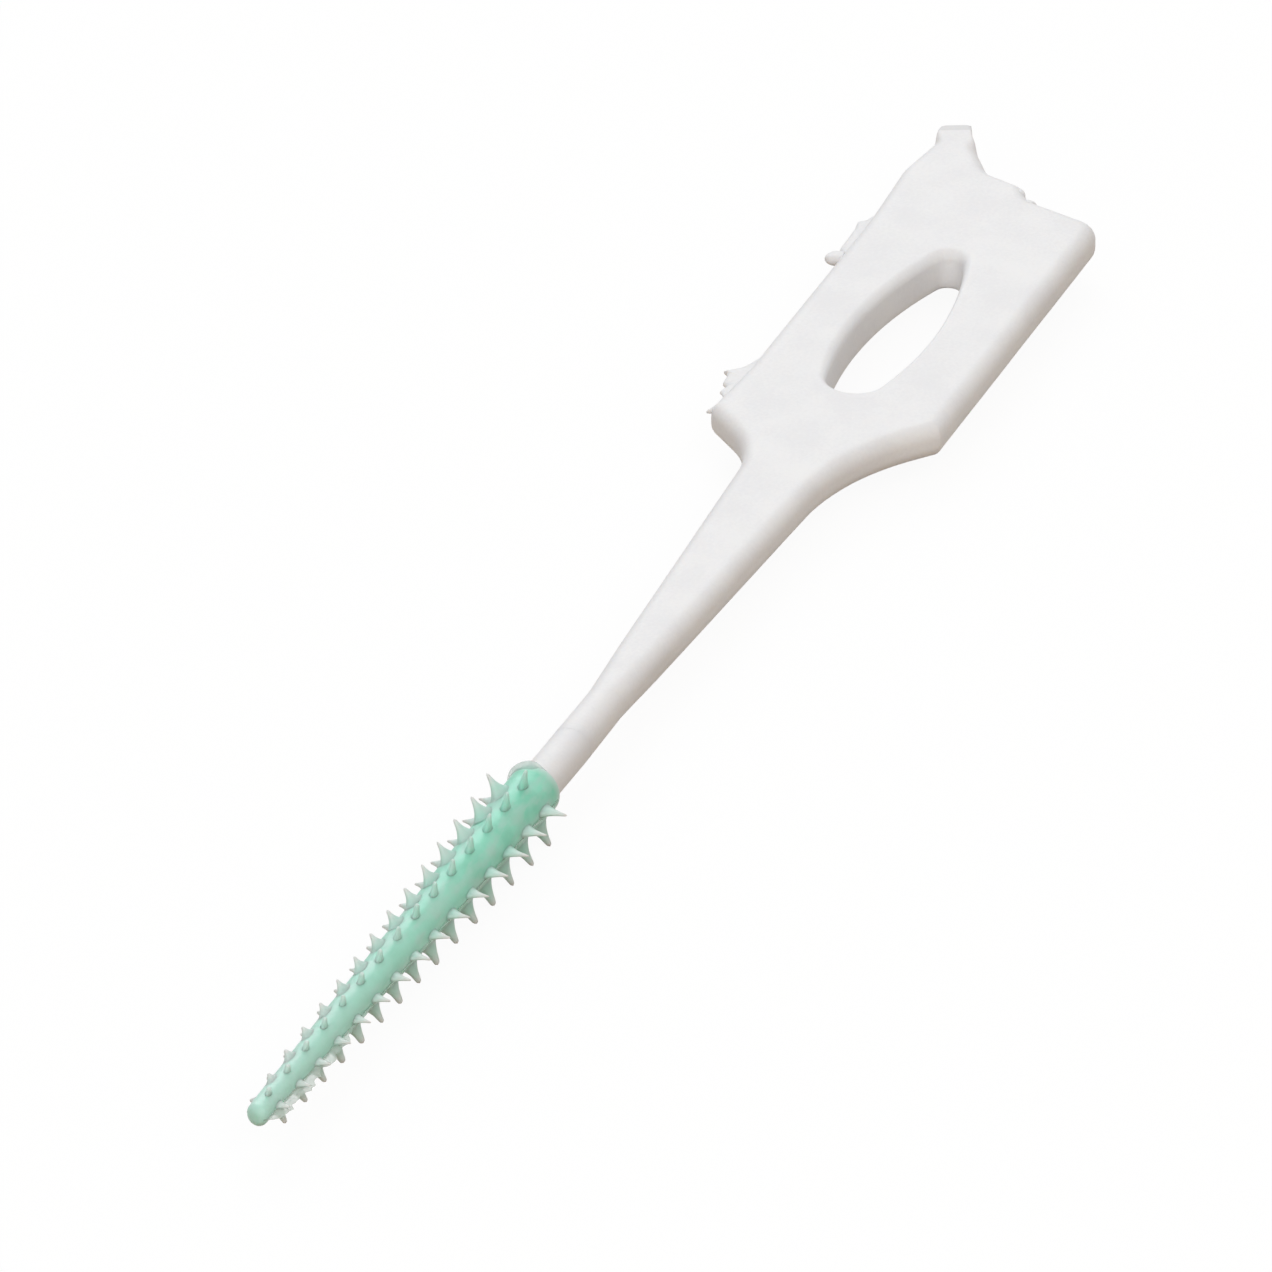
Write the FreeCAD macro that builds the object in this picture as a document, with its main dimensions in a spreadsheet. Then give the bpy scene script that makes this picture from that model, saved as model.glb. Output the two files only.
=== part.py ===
import FreeCAD, Part
import math
import os

import Sketcher
from FreeCAD import Placement, Rotation, Vector

# Interdental brush of the rubber bristle kind, in millimetres.
# A white polypropylene moulding is the flat handle plate, the tapering shank, the
# flexible neck and the thin core. A mint elastomer sleeve with rows of short thorns
# is moulded over the core. The core axis runs along X, the handle lies towards +X,
# +Z is the plate's upper side. While the pieces are built, the small end of the
# shank is at X = 0. At the end the whole brush is set down on its lowest thorns.

# Driving sizes: word, value, what it measures.
SIZES = [
    ("handle_length", 32.85, "small end of the shank to the end edge of the plate"),
    ("plate_thickness", 1.23, "plate and shank, top to bottom"),
    ("plate_left", 3.37, "core axis to the left edge of the plate"),
    ("plate_right", 3.65, "core axis to the right edge of the plate"),
    ("rim_round_share", 0.4, "rounding of the rims as a share of the thickness"),
    ("shank_length", 15.3, "small end of the shank to the root of the left shoulder"),
    ("shank_small_width", 1.21, "shank at the neck"),
    ("shank_wide_width", 2.9, "shank at the shoulders"),
    ("left_shoulder_run", 1.9, "length of the left shoulder along the axis"),
    ("left_shoulder_round", 0.5, "outer corner of the left shoulder"),
    ("left_shoulder_swell", 0.2, "left shoulder stands out beyond the plate's edge"),
    ("left_swell_run", 2.85, "length along which the swelling fades"),
    ("left_root_round", 1.6, "inner corner of the left shoulder"),
    ("right_root_lag", 0.7, "right shoulder starts this much later than the left"),
    ("right_shoulder_run", 2.65, "length of the right shoulder along the axis"),
    ("right_root_round", 8.0, "inner corner of the right shoulder"),
    ("end_edge_slant", 0.7, "end edge leans this much along the axis"),
    ("end_corner_round", 1.0, "right corner of the end edge"),
    ("spur_length", 4.2, "end edge to the tip of the moulding spur"),
    ("spur_tip_width", 0.95, "cut face of the spur"),
    ("spur_lean", 0.12, "tip of the spur stands out beyond the plate's edge"),
    ("spur_skew", 0.4, "cut face leans this much along the axis"),
    ("spur_bulge", 0.2, "left edge swells out this much where the spur starts"),
    ("spur_bulge_reach", 0.7, "end edge to the swelling"),
    ("spur_bulge_run", 3.4, "length along which the left edge swells"),
    ("spur_waist_reach", 2.5, "end edge to the narrow place of the spur"),
    ("spur_root_reach", 1.5, "end edge to the foot of the spur"),
    ("spur_root_side", 0.9, "core axis to the foot of the spur, to the left"),
    ("spur_round", 0.8, "rounding at the foot of the spur"),
    ("end_step_reach", 1.1, "step that the spur's foot makes beyond the end edge"),
    ("end_step_side", 0.45, "core axis to the step, to the right"),
    ("end_step_slope", 0.5, "slope of the step across the plate"),
    ("end_step_round", 0.5, "rounding of the step"),
    ("nub_thickness", 0.7, "torn moulding nubs, top to bottom"),
    ("hole_lead", 4.2, "root of the left shoulder to the finger hole"),
    ("hole_end_margin", 3.95, "finger hole to the end edge of the plate"),
    ("hole_width_share", 0.277, "width of the finger hole as a share of its length"),
    ("hole_blunt_share", 0.365, "rounding towards the shank as a share of the width"),
    ("hole_narrow_share", 0.173, "rounding towards the end edge, as above"),
    ("hole_side", 0.07, "hole lies this much to the right of the core axis"),
    ("hole_rim_round", 0.3, "upper rim of the hole"),
    ("neck_length", 5.2, "flexible neck between shank and sleeve"),
    ("neck_width", 1.27, "round section of the neck"),
    ("neck_set_angle", -1.4, "degrees that the used neck stays bent sideways"),
    ("core_tip_cover", 1.4, "nose of the sleeve beyond the tip of the core"),
    ("core_root_width", 1.0, "core at the neck"),
    ("core_tip_width", 0.34, "core at its tip"),
    ("sleeve_length", 20.3, "elastomer sleeve from mouth to nose"),
    ("sleeve_mouth_width", 1.56, "sleeve at its mouth"),
    ("sleeve_nose_width", 0.7, "sleeve at its nose"),
    ("sleeve_mouth_round", 0.22, "rounded lip of the sleeve"),
    ("sleeve_nose_round", 0.17, "rounded edge of the blunt nose"),
    ("thorn_pitch_share", 0.0638, "from thorn to thorn, as a share of the sleeve's length"),
    ("first_band_share", 0.0971, "nose to the first ring on the sleeve's skin, as above"),
    ("thorn_first_share", 0.0616, "nose to the first thorn, as above"),
    ("thorn_last_share", 0.0394, "mouth to where the rows end, as above"),
    ("thorn_foot_share", 0.463, "width of a thorn's foot near the mouth, as a share of the pitch"),
    ("thorn_waist_width", 0.27, "thorn above its foot"),
    ("thorn_point_width", 0.1, "blunt point of a thorn"),
    ("thorn_flare_share", 0.3, "share of a thorn's length that its foot takes"),
    ("thorn_nose_share", 0.55, "width of the thorns at the nose, as a share"),
    ("thorn_sink_share", 0.25, "thorn's root inside the sleeve, as a share of its radius"),
    ("row_right_angle", 0.0, "degrees round the axis from the right, upwards"),
    ("row_top_angle", 82.0, "as above"),
    ("row_upper_left_angle", 120.0, "as above"),
    ("row_left_angle", 182.0, "as above"),
    ("row_lower_left_angle", 240.0, "as above"),
    ("row_lower_right_angle", 298.0, "as above"),
    ("row_right_lag_share", -0.21, "row starts this share of a pitch later"),
    ("row_top_lag_share", -0.25, "as above"),
    ("row_upper_left_lag_share", 0.36, "as above"),
    ("row_left_lag_share", -0.25, "as above"),
    ("row_lower_left_lag_share", 0.36, "as above"),
    ("row_lower_right_lag_share", 0.0, "as above"),
    ("row_right_mouth_height", 0.76, "thorns of the row stand out so far near the mouth"),
    ("row_top_mouth_height", 0.7, "as above"),
    ("row_upper_left_mouth_height", 0.78, "as above"),
    ("row_left_mouth_height", 0.57, "as above"),
    ("row_lower_left_mouth_height", 0.75, "as above"),
    ("row_lower_right_mouth_height", 0.79, "as above"),
    ("row_right_nose_height", 0.3, "thorns of the row stand out so far near the nose"),
    ("row_top_nose_height", 0.2, "as above"),
    ("row_upper_left_nose_height", 0.16, "as above"),
    ("row_left_nose_height", 0.14, "as above"),
    ("row_lower_left_nose_height", 0.4, "as above"),
    ("row_lower_right_nose_height", 0.46, "as above"),
]

ROWS = ["right", "top", "upper_left", "left", "lower_left", "lower_right"]

# Torn nubs on the left edge, each a line of points: how far the point lies along the
# edge from the place named first, and how far it stands out. The first and the last
# point of each line are inside the plate.
NUBS = {
    "whisker": ("shoulder", [
        (0.3, -0.3),
        (0.45, 0.3),
        (0.95, 0.25),
        (1.35, 0.2),
        (2.1, 0.7),
        (2.4, 0.4),
        (2.75, 0.17),
        (3.1, -0.3),
    ]),
    "gate_scar": ("end_edge", [
        (-6.0, -0.3),
        (-5.8, 0.15),
        (-5.4, 0.37),
        (-5.05, 0.18),
        (-3.35, 0.25),
        (-3.05, 0.3),
        (-3.0, -0.3),
    ]),
}


class Size:
    """A size of the sheet, or a sum of them: its number and its expression."""

    def __init__(self, number, text):
        self.number = number
        self.text = text

    def __add__(self, other):
        return Size(self.number + other.number, "(" + self.text + " + " + other.text + ")")

    def __sub__(self, other):
        return Size(self.number - other.number, "(" + self.text + " - " + other.text + ")")

    def __neg__(self):
        return Size(-self.number, "(-" + self.text + ")")

    def __mul__(self, other):
        return Size(self.number * other.number, "(" + self.text + " * " + other.text + ")")

    def over(self, other):
        return Size(self.number / other.number, "(" + self.text + " / " + other.text + ")")

    def half(self):
        return Size(self.number / 2, "(" + self.text + " / 2)")


NOTHING = Size(0.0, "0")

doc = FreeCAD.newDocument("interdental_brush")
sheet = doc.addObject("Spreadsheet::Sheet", "sizes")
sheet_rows = list(SIZES)
for nub_name, (nub_start, nub_points) in NUBS.items():
    for place, (nub_along, nub_out) in enumerate(nub_points):
        mark = nub_name + "_" + "abcdefgh"[place]
        sheet_rows.append((mark + "_along", nub_along, nub_start + " to this point"))
        sheet_rows.append((mark + "_out", nub_out, "point stands out of the edge"))

size = {}
for row_number, (word, value, meaning) in enumerate(sheet_rows, start=1):
    sheet.set("A" + str(row_number), meaning)
    sheet.set("B" + str(row_number), str(value))
    sheet.setAlias("B" + str(row_number), word)
    size[word] = Size(value, "sizes." + word)
doc.recompute()


def number(word):
    """Number that the sheet holds under this word."""
    return float(sheet.get(word))


def bind(target, field, wanted):
    """Bind a field of an object to its expression in the sheet."""
    target.setExpression(field, wanted.text)


def origin_plane(body, role):
    """Base plane of a body, found by its role."""
    for feature in body.Origin.OriginFeatures:
        if feature.Role == role:
            return feature
    raise RuntimeError("no plane " + role)


def hold_point(sketch, line, end, across, along):
    """Hold one end of a line at a place that the sheet gives."""
    for kind, axis, place in (("DistanceX", -2, across), ("DistanceY", -1, along)):
        if place.number == 0.0:
            sketch.addConstraint(Sketcher.Constraint("PointOnObject", line, end, axis))
        else:
            made = sketch.addConstraint(Sketcher.Constraint(kind, -1, 1, line, end, place.number))
            sketch.setExpression("Constraints[" + str(made) + "]", place.text)


def closed_outline(sketch, corners):
    """Straight sides from corner to corner, each corner held by the sheet."""
    sides = []
    for index, (across, along) in enumerate(corners):
        next_across, next_along = corners[(index + 1) % len(corners)]
        start = Vector(across.number, along.number, 0)
        stop = Vector(next_across.number, next_along.number, 0)
        sides.append(sketch.addGeometry(Part.LineSegment(start, stop), False))
    for index, side in enumerate(sides):
        following = sides[(index + 1) % len(sides)]
        sketch.addConstraint(Sketcher.Constraint("Coincident", side, 2, following, 1))
    for side, (across, along) in zip(sides, corners):
        hold_point(sketch, side, 1, across, along)


def new_sketch(body, name, role):
    """Empty sketch on a base plane of its own body."""
    sketch = body.newObject("Sketcher::SketchObject", name)
    sketch.AttachmentSupport = [(origin_plane(body, role), "")]
    sketch.MapMode = "FlatFace"
    return sketch


def upright_edges_at(feature, across, along, slack):
    """Names of the upright edges of a pad that stand over one corner."""
    names = []
    for index, edge in enumerate(feature.Shape.Edges, start=1):
        ends = [vertex.Point for vertex in edge.Vertexes]
        if len(ends) == 2 and abs(ends[0].z - ends[1].z) > slack:
            if math.hypot(ends[0].x - across.number, ends[0].y - along.number) < slack:
                names.append("Edge" + str(index))
    return names


def round_edges(body, name, base, edges, radius):
    """Rounding of some edges of a feature, with its radius from the sheet."""
    if not edges:
        raise RuntimeError("no edges found for " + name)
    rounding = body.newObject("PartDesign::Fillet", name)
    rounding.Base = (base, edges)
    rounding.Radius = radius.number
    bind(rounding, "Radius", radius)
    doc.recompute()
    body.Tip = rounding
    return rounding


def new_body(name):
    """Empty body with its own label."""
    body = doc.addObject("PartDesign::Body", name)
    body.Label = name
    return body


def middle_pad(body, name, sketch, height):
    """Pad that reaches half its height to each side of its sketch."""
    pad = body.newObject("PartDesign::Pad", name)
    pad.Profile = sketch
    pad.Midplane = True
    pad.Length = height.number
    bind(pad, "Length", height)
    doc.recompute()
    body.Tip = pad
    return pad


# Handle: plate and shank from one outline, all rims rounded, then the torn nubs and
# the finger hole. The end face at the neck and the cut face of the spur stay flat.
def build_handle():
    body = new_body("handle")
    plate_end = size["handle_length"]
    left = size["plate_left"]
    right = -size["plate_right"]
    right_root = size["shank_length"] + size["right_root_lag"]
    small_half = size["shank_small_width"].half()
    wide_half = size["shank_wide_width"].half()
    left_root = (size["shank_length"], wide_half)
    shoulder_at = size["shank_length"] + size["left_shoulder_run"]
    left_corner = (shoulder_at, left + size["left_shoulder_swell"])
    left_edge = (shoulder_at + size["left_swell_run"], left)
    bulge_at = plate_end + size["spur_bulge_reach"]
    spur_foot = (bulge_at - size["spur_bulge_run"], left)
    spur_swell = (bulge_at, left + size["spur_bulge"])
    spur_waist = (plate_end + size["spur_waist_reach"], left)
    spur_side = left + size["spur_lean"]
    spur_left = (plate_end + size["spur_length"] - size["spur_skew"], spur_side)
    spur_right = (plate_end + size["spur_length"], spur_side - size["spur_tip_width"])
    spur_root = (plate_end + size["spur_root_reach"], size["spur_root_side"])
    step_out = (plate_end + size["end_step_reach"], -size["end_step_side"])
    slant = size["end_edge_slant"].half()
    step_in = (plate_end + slant, -(size["end_step_side"] + size["end_step_slope"]))
    end_corner = (plate_end - slant, right)
    right_corner = (right_root + size["right_shoulder_run"], right)
    right_foot = (right_root, -wide_half)
    outline = new_sketch(body, "handle_outline", "XY_Plane")
    closed_outline(outline, [
        (NOTHING, small_half),
        left_root,
        left_corner,
        left_edge,
        spur_foot,
        spur_swell,
        spur_waist,
        spur_left,
        spur_right,
        spur_root,
        step_out,
        step_in,
        end_corner,
        right_corner,
        right_foot,
        (NOTHING, -small_half),
    ])
    feature = middle_pad(body, "handle_pad", outline, size["plate_thickness"])
    slack = number("plate_thickness") * number("rim_round_share")
    corner_rounds = [
        ("left_root", left_root, size["left_root_round"]),
        ("left_corner", left_corner, size["left_shoulder_round"]),
        ("spur_root", spur_root, size["spur_round"]),
        ("step_out", step_out, size["end_step_round"]),
        ("step_in", step_in, size["end_step_round"]),
        ("end_corner", end_corner, size["end_corner_round"]),
        ("right_foot", right_foot, size["right_root_round"]),
    ]
    for corner_name, corner, radius in corner_rounds:
        edges = upright_edges_at(feature, corner[0], corner[1], slack)
        feature = round_edges(body, corner_name + "_fillet", feature, edges, radius)
    rim = size["plate_thickness"] * size["rim_round_share"]
    feature = round_edges(body, "rim_fillet", feature, rim_edges(feature), rim)
    build_nubs(body, left, {"shoulder": shoulder_at, "end_edge": plate_end})
    build_finger_hole(body)
    return body


def rim_edges(feature):
    """Upper and lower rim of the plate, without the two flat end faces."""
    top = number("plate_thickness") / 2
    spur_line = number("handle_length") + number("spur_length") - number("spur_skew")
    names = []
    for index, edge in enumerate(feature.Shape.Edges, start=1):
        box = edge.BoundBox
        level = abs(abs(box.ZMin) - top) < top / 10 and abs(box.ZMax - box.ZMin) < top / 10
        at_neck = box.XMax < top / 10
        at_cut = box.XMin > spur_line - top / 10
        if level and not at_neck and not at_cut:
            names.append("Edge" + str(index))
    return names


def build_nubs(body, left, starts):
    """Torn nubs on the left edge, thin scraps that start inside the plate."""
    sketch = new_sketch(body, "nub_outline", "XY_Plane")
    for name, (start, points) in NUBS.items():
        marks = [name + "_" + "abcdefgh"[place] for place in range(len(points))]
        closed_outline(sketch, [
            (starts[start] + size[mark + "_along"], left + size[mark + "_out"])
            for mark in marks
        ])
    return middle_pad(body, "nub_pad", sketch, size["nub_thickness"])


def flank_radius(spread, blunt, narrow, half_width):
    """Radius of the long sides that gives the hole its width, found by halving."""
    low = max(blunt, narrow, half_width)
    high = low + spread * spread / half_width
    for halving in range(60):
        flank = (low + high) / 2
        reach = ((narrow - blunt) * (2 * flank - blunt - narrow) + spread ** 2) / (2 * spread)
        drop_squared = (flank - blunt) ** 2 - reach ** 2
        if drop_squared <= 0 or flank - math.sqrt(drop_squared) > half_width:
            low = flank
        else:
            high = flank
    return flank


def build_finger_hole(body):
    """Egg-shaped through hole of four tangent arcs, with a soft upper rim."""
    hole_start = size["shank_length"] + size["hole_lead"]
    hole_length = size["handle_length"] - size["hole_end_margin"] - hole_start
    hole_width = hole_length * size["hole_width_share"]
    blunt_round = hole_width * size["hole_blunt_share"]
    narrow_round = hole_width * size["hole_narrow_share"]
    start = hole_start.number
    blunt = blunt_round.number
    narrow = narrow_round.number
    side = -number("hole_side")
    blunt_at = start + blunt
    narrow_at = start + hole_length.number - narrow
    flank = flank_radius(narrow_at - blunt_at, blunt, narrow, hole_width.number / 2)
    # The long sides touch both end arcs from inside, so their centres lie where two
    # circles round the end centres cross.
    spread = narrow_at - blunt_at
    to_blunt = flank - blunt
    to_narrow = flank - narrow
    reach = (to_blunt ** 2 - to_narrow ** 2 + spread ** 2) / (2 * spread)
    drop = math.sqrt(to_blunt ** 2 - reach ** 2)
    lean_blunt = math.atan2(drop, -reach)
    lean_narrow = math.atan2(drop, spread - reach)
    sketch = new_sketch(body, "hole_outline", "XY_Plane")
    blunt_centre = Vector(blunt_at, side, 0)
    narrow_centre = Vector(narrow_at, side, 0)
    lower_centre = Vector(blunt_at + reach, side - drop, 0)
    upper_centre = Vector(blunt_at + reach, side + drop, 0)
    up = Vector(0, 0, 1)
    arcs = [
        (blunt_centre, blunt, lean_blunt, 2 * math.pi - lean_blunt),
        (upper_centre, flank, 2 * math.pi - lean_blunt, 2 * math.pi - lean_narrow),
        (narrow_centre, narrow, -lean_narrow, lean_narrow),
        (lower_centre, flank, lean_narrow, lean_blunt),
    ]
    for centre, radius, first, last in arcs:
        circle = Part.Circle(centre, up, radius)
        sketch.addGeometry(Part.ArcOfCircle(circle, first, last), False)
    for arc in range(len(arcs)):
        following = (arc + 1) % len(arcs)
        sketch.addConstraint(Sketcher.Constraint("Tangent", arc, 2, following, 1))
    for arc, radius in ((0, blunt_round), (2, narrow_round)):
        made = sketch.addConstraint(Sketcher.Constraint("Radius", arc, radius.number))
        sketch.setExpression("Constraints[" + str(made) + "]", radius.text)
    sketch.addConstraint(Sketcher.Constraint("Equal", 1, 3))
    sketch.addConstraint(Sketcher.Constraint("Radius", 1, flank))
    axis = -size["hole_side"]
    hold_point(sketch, 0, 3, hole_start + blunt_round, axis)
    hold_point(sketch, 2, 3, hole_start + hole_length - narrow_round, axis)
    before = body.Tip.Shape.Volume
    pocket = body.newObject("PartDesign::Pocket", "finger_hole")
    pocket.Profile = sketch
    pocket.Midplane = True
    pocket.Type = "ThroughAll"
    doc.recompute()
    body.Tip = pocket
    if pocket.Shape.Volume >= before:
        raise RuntimeError("the finger hole cuts nothing")
    top = number("plate_thickness") / 2
    edges = []
    for index, edge in enumerate(pocket.Shape.Edges, start=1):
        box = edge.BoundBox
        inside = box.XMin > start - top / 10 and box.XMax < narrow_at + narrow + top / 10
        between = abs(box.YMin - side) < flank and abs(box.YMax) < number("plate_left") - top
        if inside and between and box.ZMin > top * 0.9:
            edges.append("Edge" + str(index))
    round_edges(body, "hole_rim_fillet", pocket, edges, size["hole_rim_round"])


# Brush set: the used neck keeps a slight sideways bend, so core and sleeve are turned
# about the middle of the neck.
def brush_set():
    middle = Vector(-number("neck_length") / 2, 0, 0)
    return Placement(Vector(0, 0, 0), Rotation(Vector(0, 0, 1), number("neck_set_angle")), middle)


def build_neck():
    """Round neck between the shank's end face and the turned mouth of the sleeve."""
    ring_turn = Rotation(Vector(0, 1, 0), 90)
    rings = []
    for name, along in (("neck_ring_shank", 0.0), ("neck_ring_sleeve", -number("neck_length"))):
        ring = doc.addObject("Part::Circle", name)
        ring.Radius = number("neck_width") / 2
        bind(ring, "Radius", size["neck_width"].half())
        ring.Placement = Placement(Vector(along, 0, 0), ring_turn)
        rings.append(ring)
    rings[1].Placement = brush_set().multiply(rings[1].Placement)
    neck = doc.addObject("Part::Loft", "flex_neck")
    neck.Label = "flex_neck"
    neck.Sections = rings
    neck.Solid = True
    neck.Ruled = True
    doc.recompute()
    return neck


def turned_body(name, corners):
    """Body turned about the core axis from a half profile that points down."""
    body = new_body(name)
    sketch = new_sketch(body, name + "_profile", "XZ_Plane")
    closed_outline(sketch, corners)
    turn = body.newObject("PartDesign::Revolution", name + "_turn")
    turn.Profile = sketch
    turn.ReferenceAxis = (sketch, ["H_Axis"])
    turn.Angle = 360.0
    turn.Refine = False
    doc.recompute()
    body.Tip = turn
    return body


def core_profile():
    """Half profile of the thin core, also that of the bore which it fills."""
    mouth = -size["neck_length"]
    tip = mouth - (size["sleeve_length"] - size["core_tip_cover"])
    return [
        (tip, NOTHING),
        (mouth, NOTHING),
        (mouth, -size["core_root_width"].half()),
        (tip, -size["core_tip_width"].half()),
    ]


def edges_round_axis(feature, along, slack):
    """Names of the circular edges of a turned body at one place on the axis."""
    names = []
    for index, edge in enumerate(feature.Shape.Edges, start=1):
        box = edge.BoundBox
        if abs(box.XMin - along) < slack and abs(box.XMax - along) < slack:
            names.append("Edge" + str(index))
    return names


def build_sleeve_skin():
    """Tapering sleeve without thorns and bore, with a round nose and a round lip."""
    mouth = -size["neck_length"]
    nose = mouth - size["sleeve_length"]
    nose_radius = size["sleeve_nose_width"].half()
    mouth_radius = size["sleeve_mouth_width"].half()
    # Rings between the thorns part the skin into bands, so that its mesh stays true.
    bands = []
    along = size["sleeve_length"] * size["first_band_share"]
    while along.number < number("sleeve_length") - 2 * number("sleeve_mouth_round"):
        radius = nose_radius + (mouth_radius - nose_radius) * along.over(size["sleeve_length"])
        bands.append((nose + along, -radius))
        along = along + size["sleeve_length"] * size["thorn_pitch_share"]
    body = turned_body("sleeve_skin", [
        (nose, NOTHING),
        (mouth, NOTHING),
        (mouth, -mouth_radius),
        *reversed(bands),
        (nose, -nose_radius),
    ])
    slack = number("sleeve_nose_round") / 10
    nose_edges = edges_round_axis(body.Tip, nose.number, slack)
    round_edges(body, "nose_fillet", body.Tip, nose_edges, size["sleeve_nose_round"])
    mouth_edges = edges_round_axis(body.Tip, mouth.number, slack)
    round_edges(body, "lip_fillet", body.Tip, mouth_edges, size["sleeve_mouth_round"])
    return body


def thorn_pitch():
    """Distance from thorn to thorn along a row."""
    return number("sleeve_length") * number("thorn_pitch_share")


def thorn(height, share_of_mouth, sink):
    """One thorn that points along +Z: a flared foot, a slim cone and a blunt point."""
    shrink = number("thorn_nose_share") + (1 - number("thorn_nose_share")) * share_of_mouth
    foot = thorn_pitch() * number("thorn_foot_share") / 2 * shrink
    waist = number("thorn_waist_width") / 2 * shrink
    point = number("thorn_point_width") / 2 * shrink
    waist_up = height * number("thorn_flare_share")
    profile = Part.makePolygon([
        Vector(0, 0, -sink),
        Vector(0, foot, -sink),
        Vector(0, waist, waist_up),
        Vector(0, point, height),
        Vector(0, 0, height),
        Vector(0, 0, -sink),
    ])
    return Part.Face(profile).revolve(Vector(0, 0, 0), Vector(0, 0, 1), 360)


def build_thorn_row(row):
    """One row of thorns along the sleeve, shrinking towards the nose."""
    angle = number("row_" + row + "_angle")
    lag = number("row_" + row + "_lag_share") * thorn_pitch()
    mouth_height = number("row_" + row + "_mouth_height")
    nose_height = number("row_" + row + "_nose_height")
    length = number("sleeve_length")
    nose = -number("neck_length") - length
    station = length * number("thorn_first_share") + lag
    thorns = []
    while station < length * (1 - number("thorn_last_share")):
        share = station / length
        mouth_radius = number("sleeve_mouth_width") / 2
        nose_radius = number("sleeve_nose_width") / 2
        radius = nose_radius + (mouth_radius - nose_radius) * share
        height = nose_height + (mouth_height - nose_height) * share
        made = thorn(height, share, radius * number("thorn_sink_share"))
        # A row angle counts from the right (-Y) upwards, a thorn stands along +Z.
        made.Placement = Placement(
            Vector(nose + station, 0, 0),
            Rotation(Vector(1, 0, 0), 90 - angle),
        ).multiply(Placement(Vector(0, 0, radius), Rotation()))
        thorns.append(made)
        station += thorn_pitch()
    row_feature = doc.addObject("Part::Feature", "thorn_row_" + row)
    row_feature.Label = "thorn_row_" + row
    row_feature.Shape = Part.makeCompound(thorns)
    return row_feature


def build_sleeve():
    """Sleeve and thorns as one moulding, bored for the core."""
    skin = build_sleeve_skin()
    rows = [build_thorn_row(row) for row in ROWS]
    moulding = doc.addObject("Part::MultiFuse", "sleeve_moulding")
    moulding.Shapes = [skin] + rows
    bore = turned_body("core_bore", core_profile())
    sleeve = doc.addObject("Part::Cut", "bristle_sleeve")
    sleeve.Label = "bristle_sleeve"
    sleeve.Base = moulding
    sleeve.Tool = bore
    doc.recompute()
    return sleeve


def set_down(placed):
    """Put the origin under the middle of the brush, at the level of its lowest thorns."""
    whole = FreeCAD.BoundBox()
    for feature, own in placed:
        feature.Placement = own
    doc.recompute()
    for feature, own in placed:
        whole.add(feature.Shape.optimalBoundingBox(True, False))
    middle = whole.Center
    shift = Placement(Vector(-middle.x, -middle.y, -whole.ZMin), Rotation())
    for feature, own in placed:
        feature.Placement = shift.multiply(own)
    doc.recompute()
    return shift.Base


handle = build_handle()
neck = build_neck()
core = turned_body("core_spine", core_profile())
sleeve = build_sleeve()
moved = set_down([
    (handle, Placement()),
    (neck, Placement()),
    (core, brush_set()),
    (sleeve, brush_set()),
])

for feature in doc.Objects:
    for word in ("Invalid", "Error"):
        if word in feature.State:
            raise RuntimeError(feature.Name + " is " + word)

os.makedirs("parts", exist_ok=True)
for feature in (handle, neck, core, sleeve):
    shape = feature.Shape
    if shape.isNull() or not shape.isValid() or len(shape.Solids) != 1:
        raise RuntimeError(feature.Label + " is not one valid solid")
    shape.exportStep("parts/" + feature.Label + ".step")
    box = shape.BoundBox
    print(feature.Label, "volume", round(shape.Volume, 3), "X", round(box.XMin, 3), round(box.XMax, 3),
          "Y", round(box.YMin, 3), round(box.YMax, 3), "Z", round(box.ZMin, 3), round(box.ZMax, 3))
print("set down by", moved.x, moved.y, moved.z)
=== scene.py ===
"""Looks of the interdental brush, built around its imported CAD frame. Everything is in metres.

The white moulding is plate, shank and neck in one piece, so one mesh runs from the spur
to the middle of the neck and a short tube carries on into the sleeve. The mint sleeve is
a turned skin with six rows of thorns, a lip of film at its mouth and two parting flashes.
"""

import logging
import math
from dataclasses import dataclass, field
from enum import Enum, IntEnum

import bmesh
import bpy
import numpy as np
from mathutils import Matrix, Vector
from mathutils.geometry import delaunay_2d_cdt

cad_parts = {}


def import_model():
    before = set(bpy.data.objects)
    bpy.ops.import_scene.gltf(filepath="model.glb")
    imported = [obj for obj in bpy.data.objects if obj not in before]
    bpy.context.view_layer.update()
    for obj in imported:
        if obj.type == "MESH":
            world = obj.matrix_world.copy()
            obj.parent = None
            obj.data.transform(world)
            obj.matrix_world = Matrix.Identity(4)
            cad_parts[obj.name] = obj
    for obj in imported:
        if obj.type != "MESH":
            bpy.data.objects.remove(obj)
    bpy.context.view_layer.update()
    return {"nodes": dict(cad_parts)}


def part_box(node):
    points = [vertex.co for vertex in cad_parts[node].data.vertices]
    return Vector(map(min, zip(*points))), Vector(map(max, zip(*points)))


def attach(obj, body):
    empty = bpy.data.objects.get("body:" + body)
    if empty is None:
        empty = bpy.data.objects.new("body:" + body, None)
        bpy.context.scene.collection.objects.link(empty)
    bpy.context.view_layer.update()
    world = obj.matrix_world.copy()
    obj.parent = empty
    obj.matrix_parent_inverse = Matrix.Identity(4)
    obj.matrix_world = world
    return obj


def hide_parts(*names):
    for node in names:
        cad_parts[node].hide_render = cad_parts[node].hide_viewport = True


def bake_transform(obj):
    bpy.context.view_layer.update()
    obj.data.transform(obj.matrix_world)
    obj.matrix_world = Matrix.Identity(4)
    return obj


MM = 0.001
TINY = 1e-9
POLE_GAP = 0.0001 * MM
PLAN_TOLERANCE = 1e-6
BLOCK_SIZE = 500
WAVE_COUNT = 8
WAVE_GAIN = 1.8
MIX_SHARE, MIX_LOW, MIX_HIGH, MIX_COLOUR = 0, 6, 7, 2
BEND_SHARES = (0.2, 0.5, 0.8)

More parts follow.
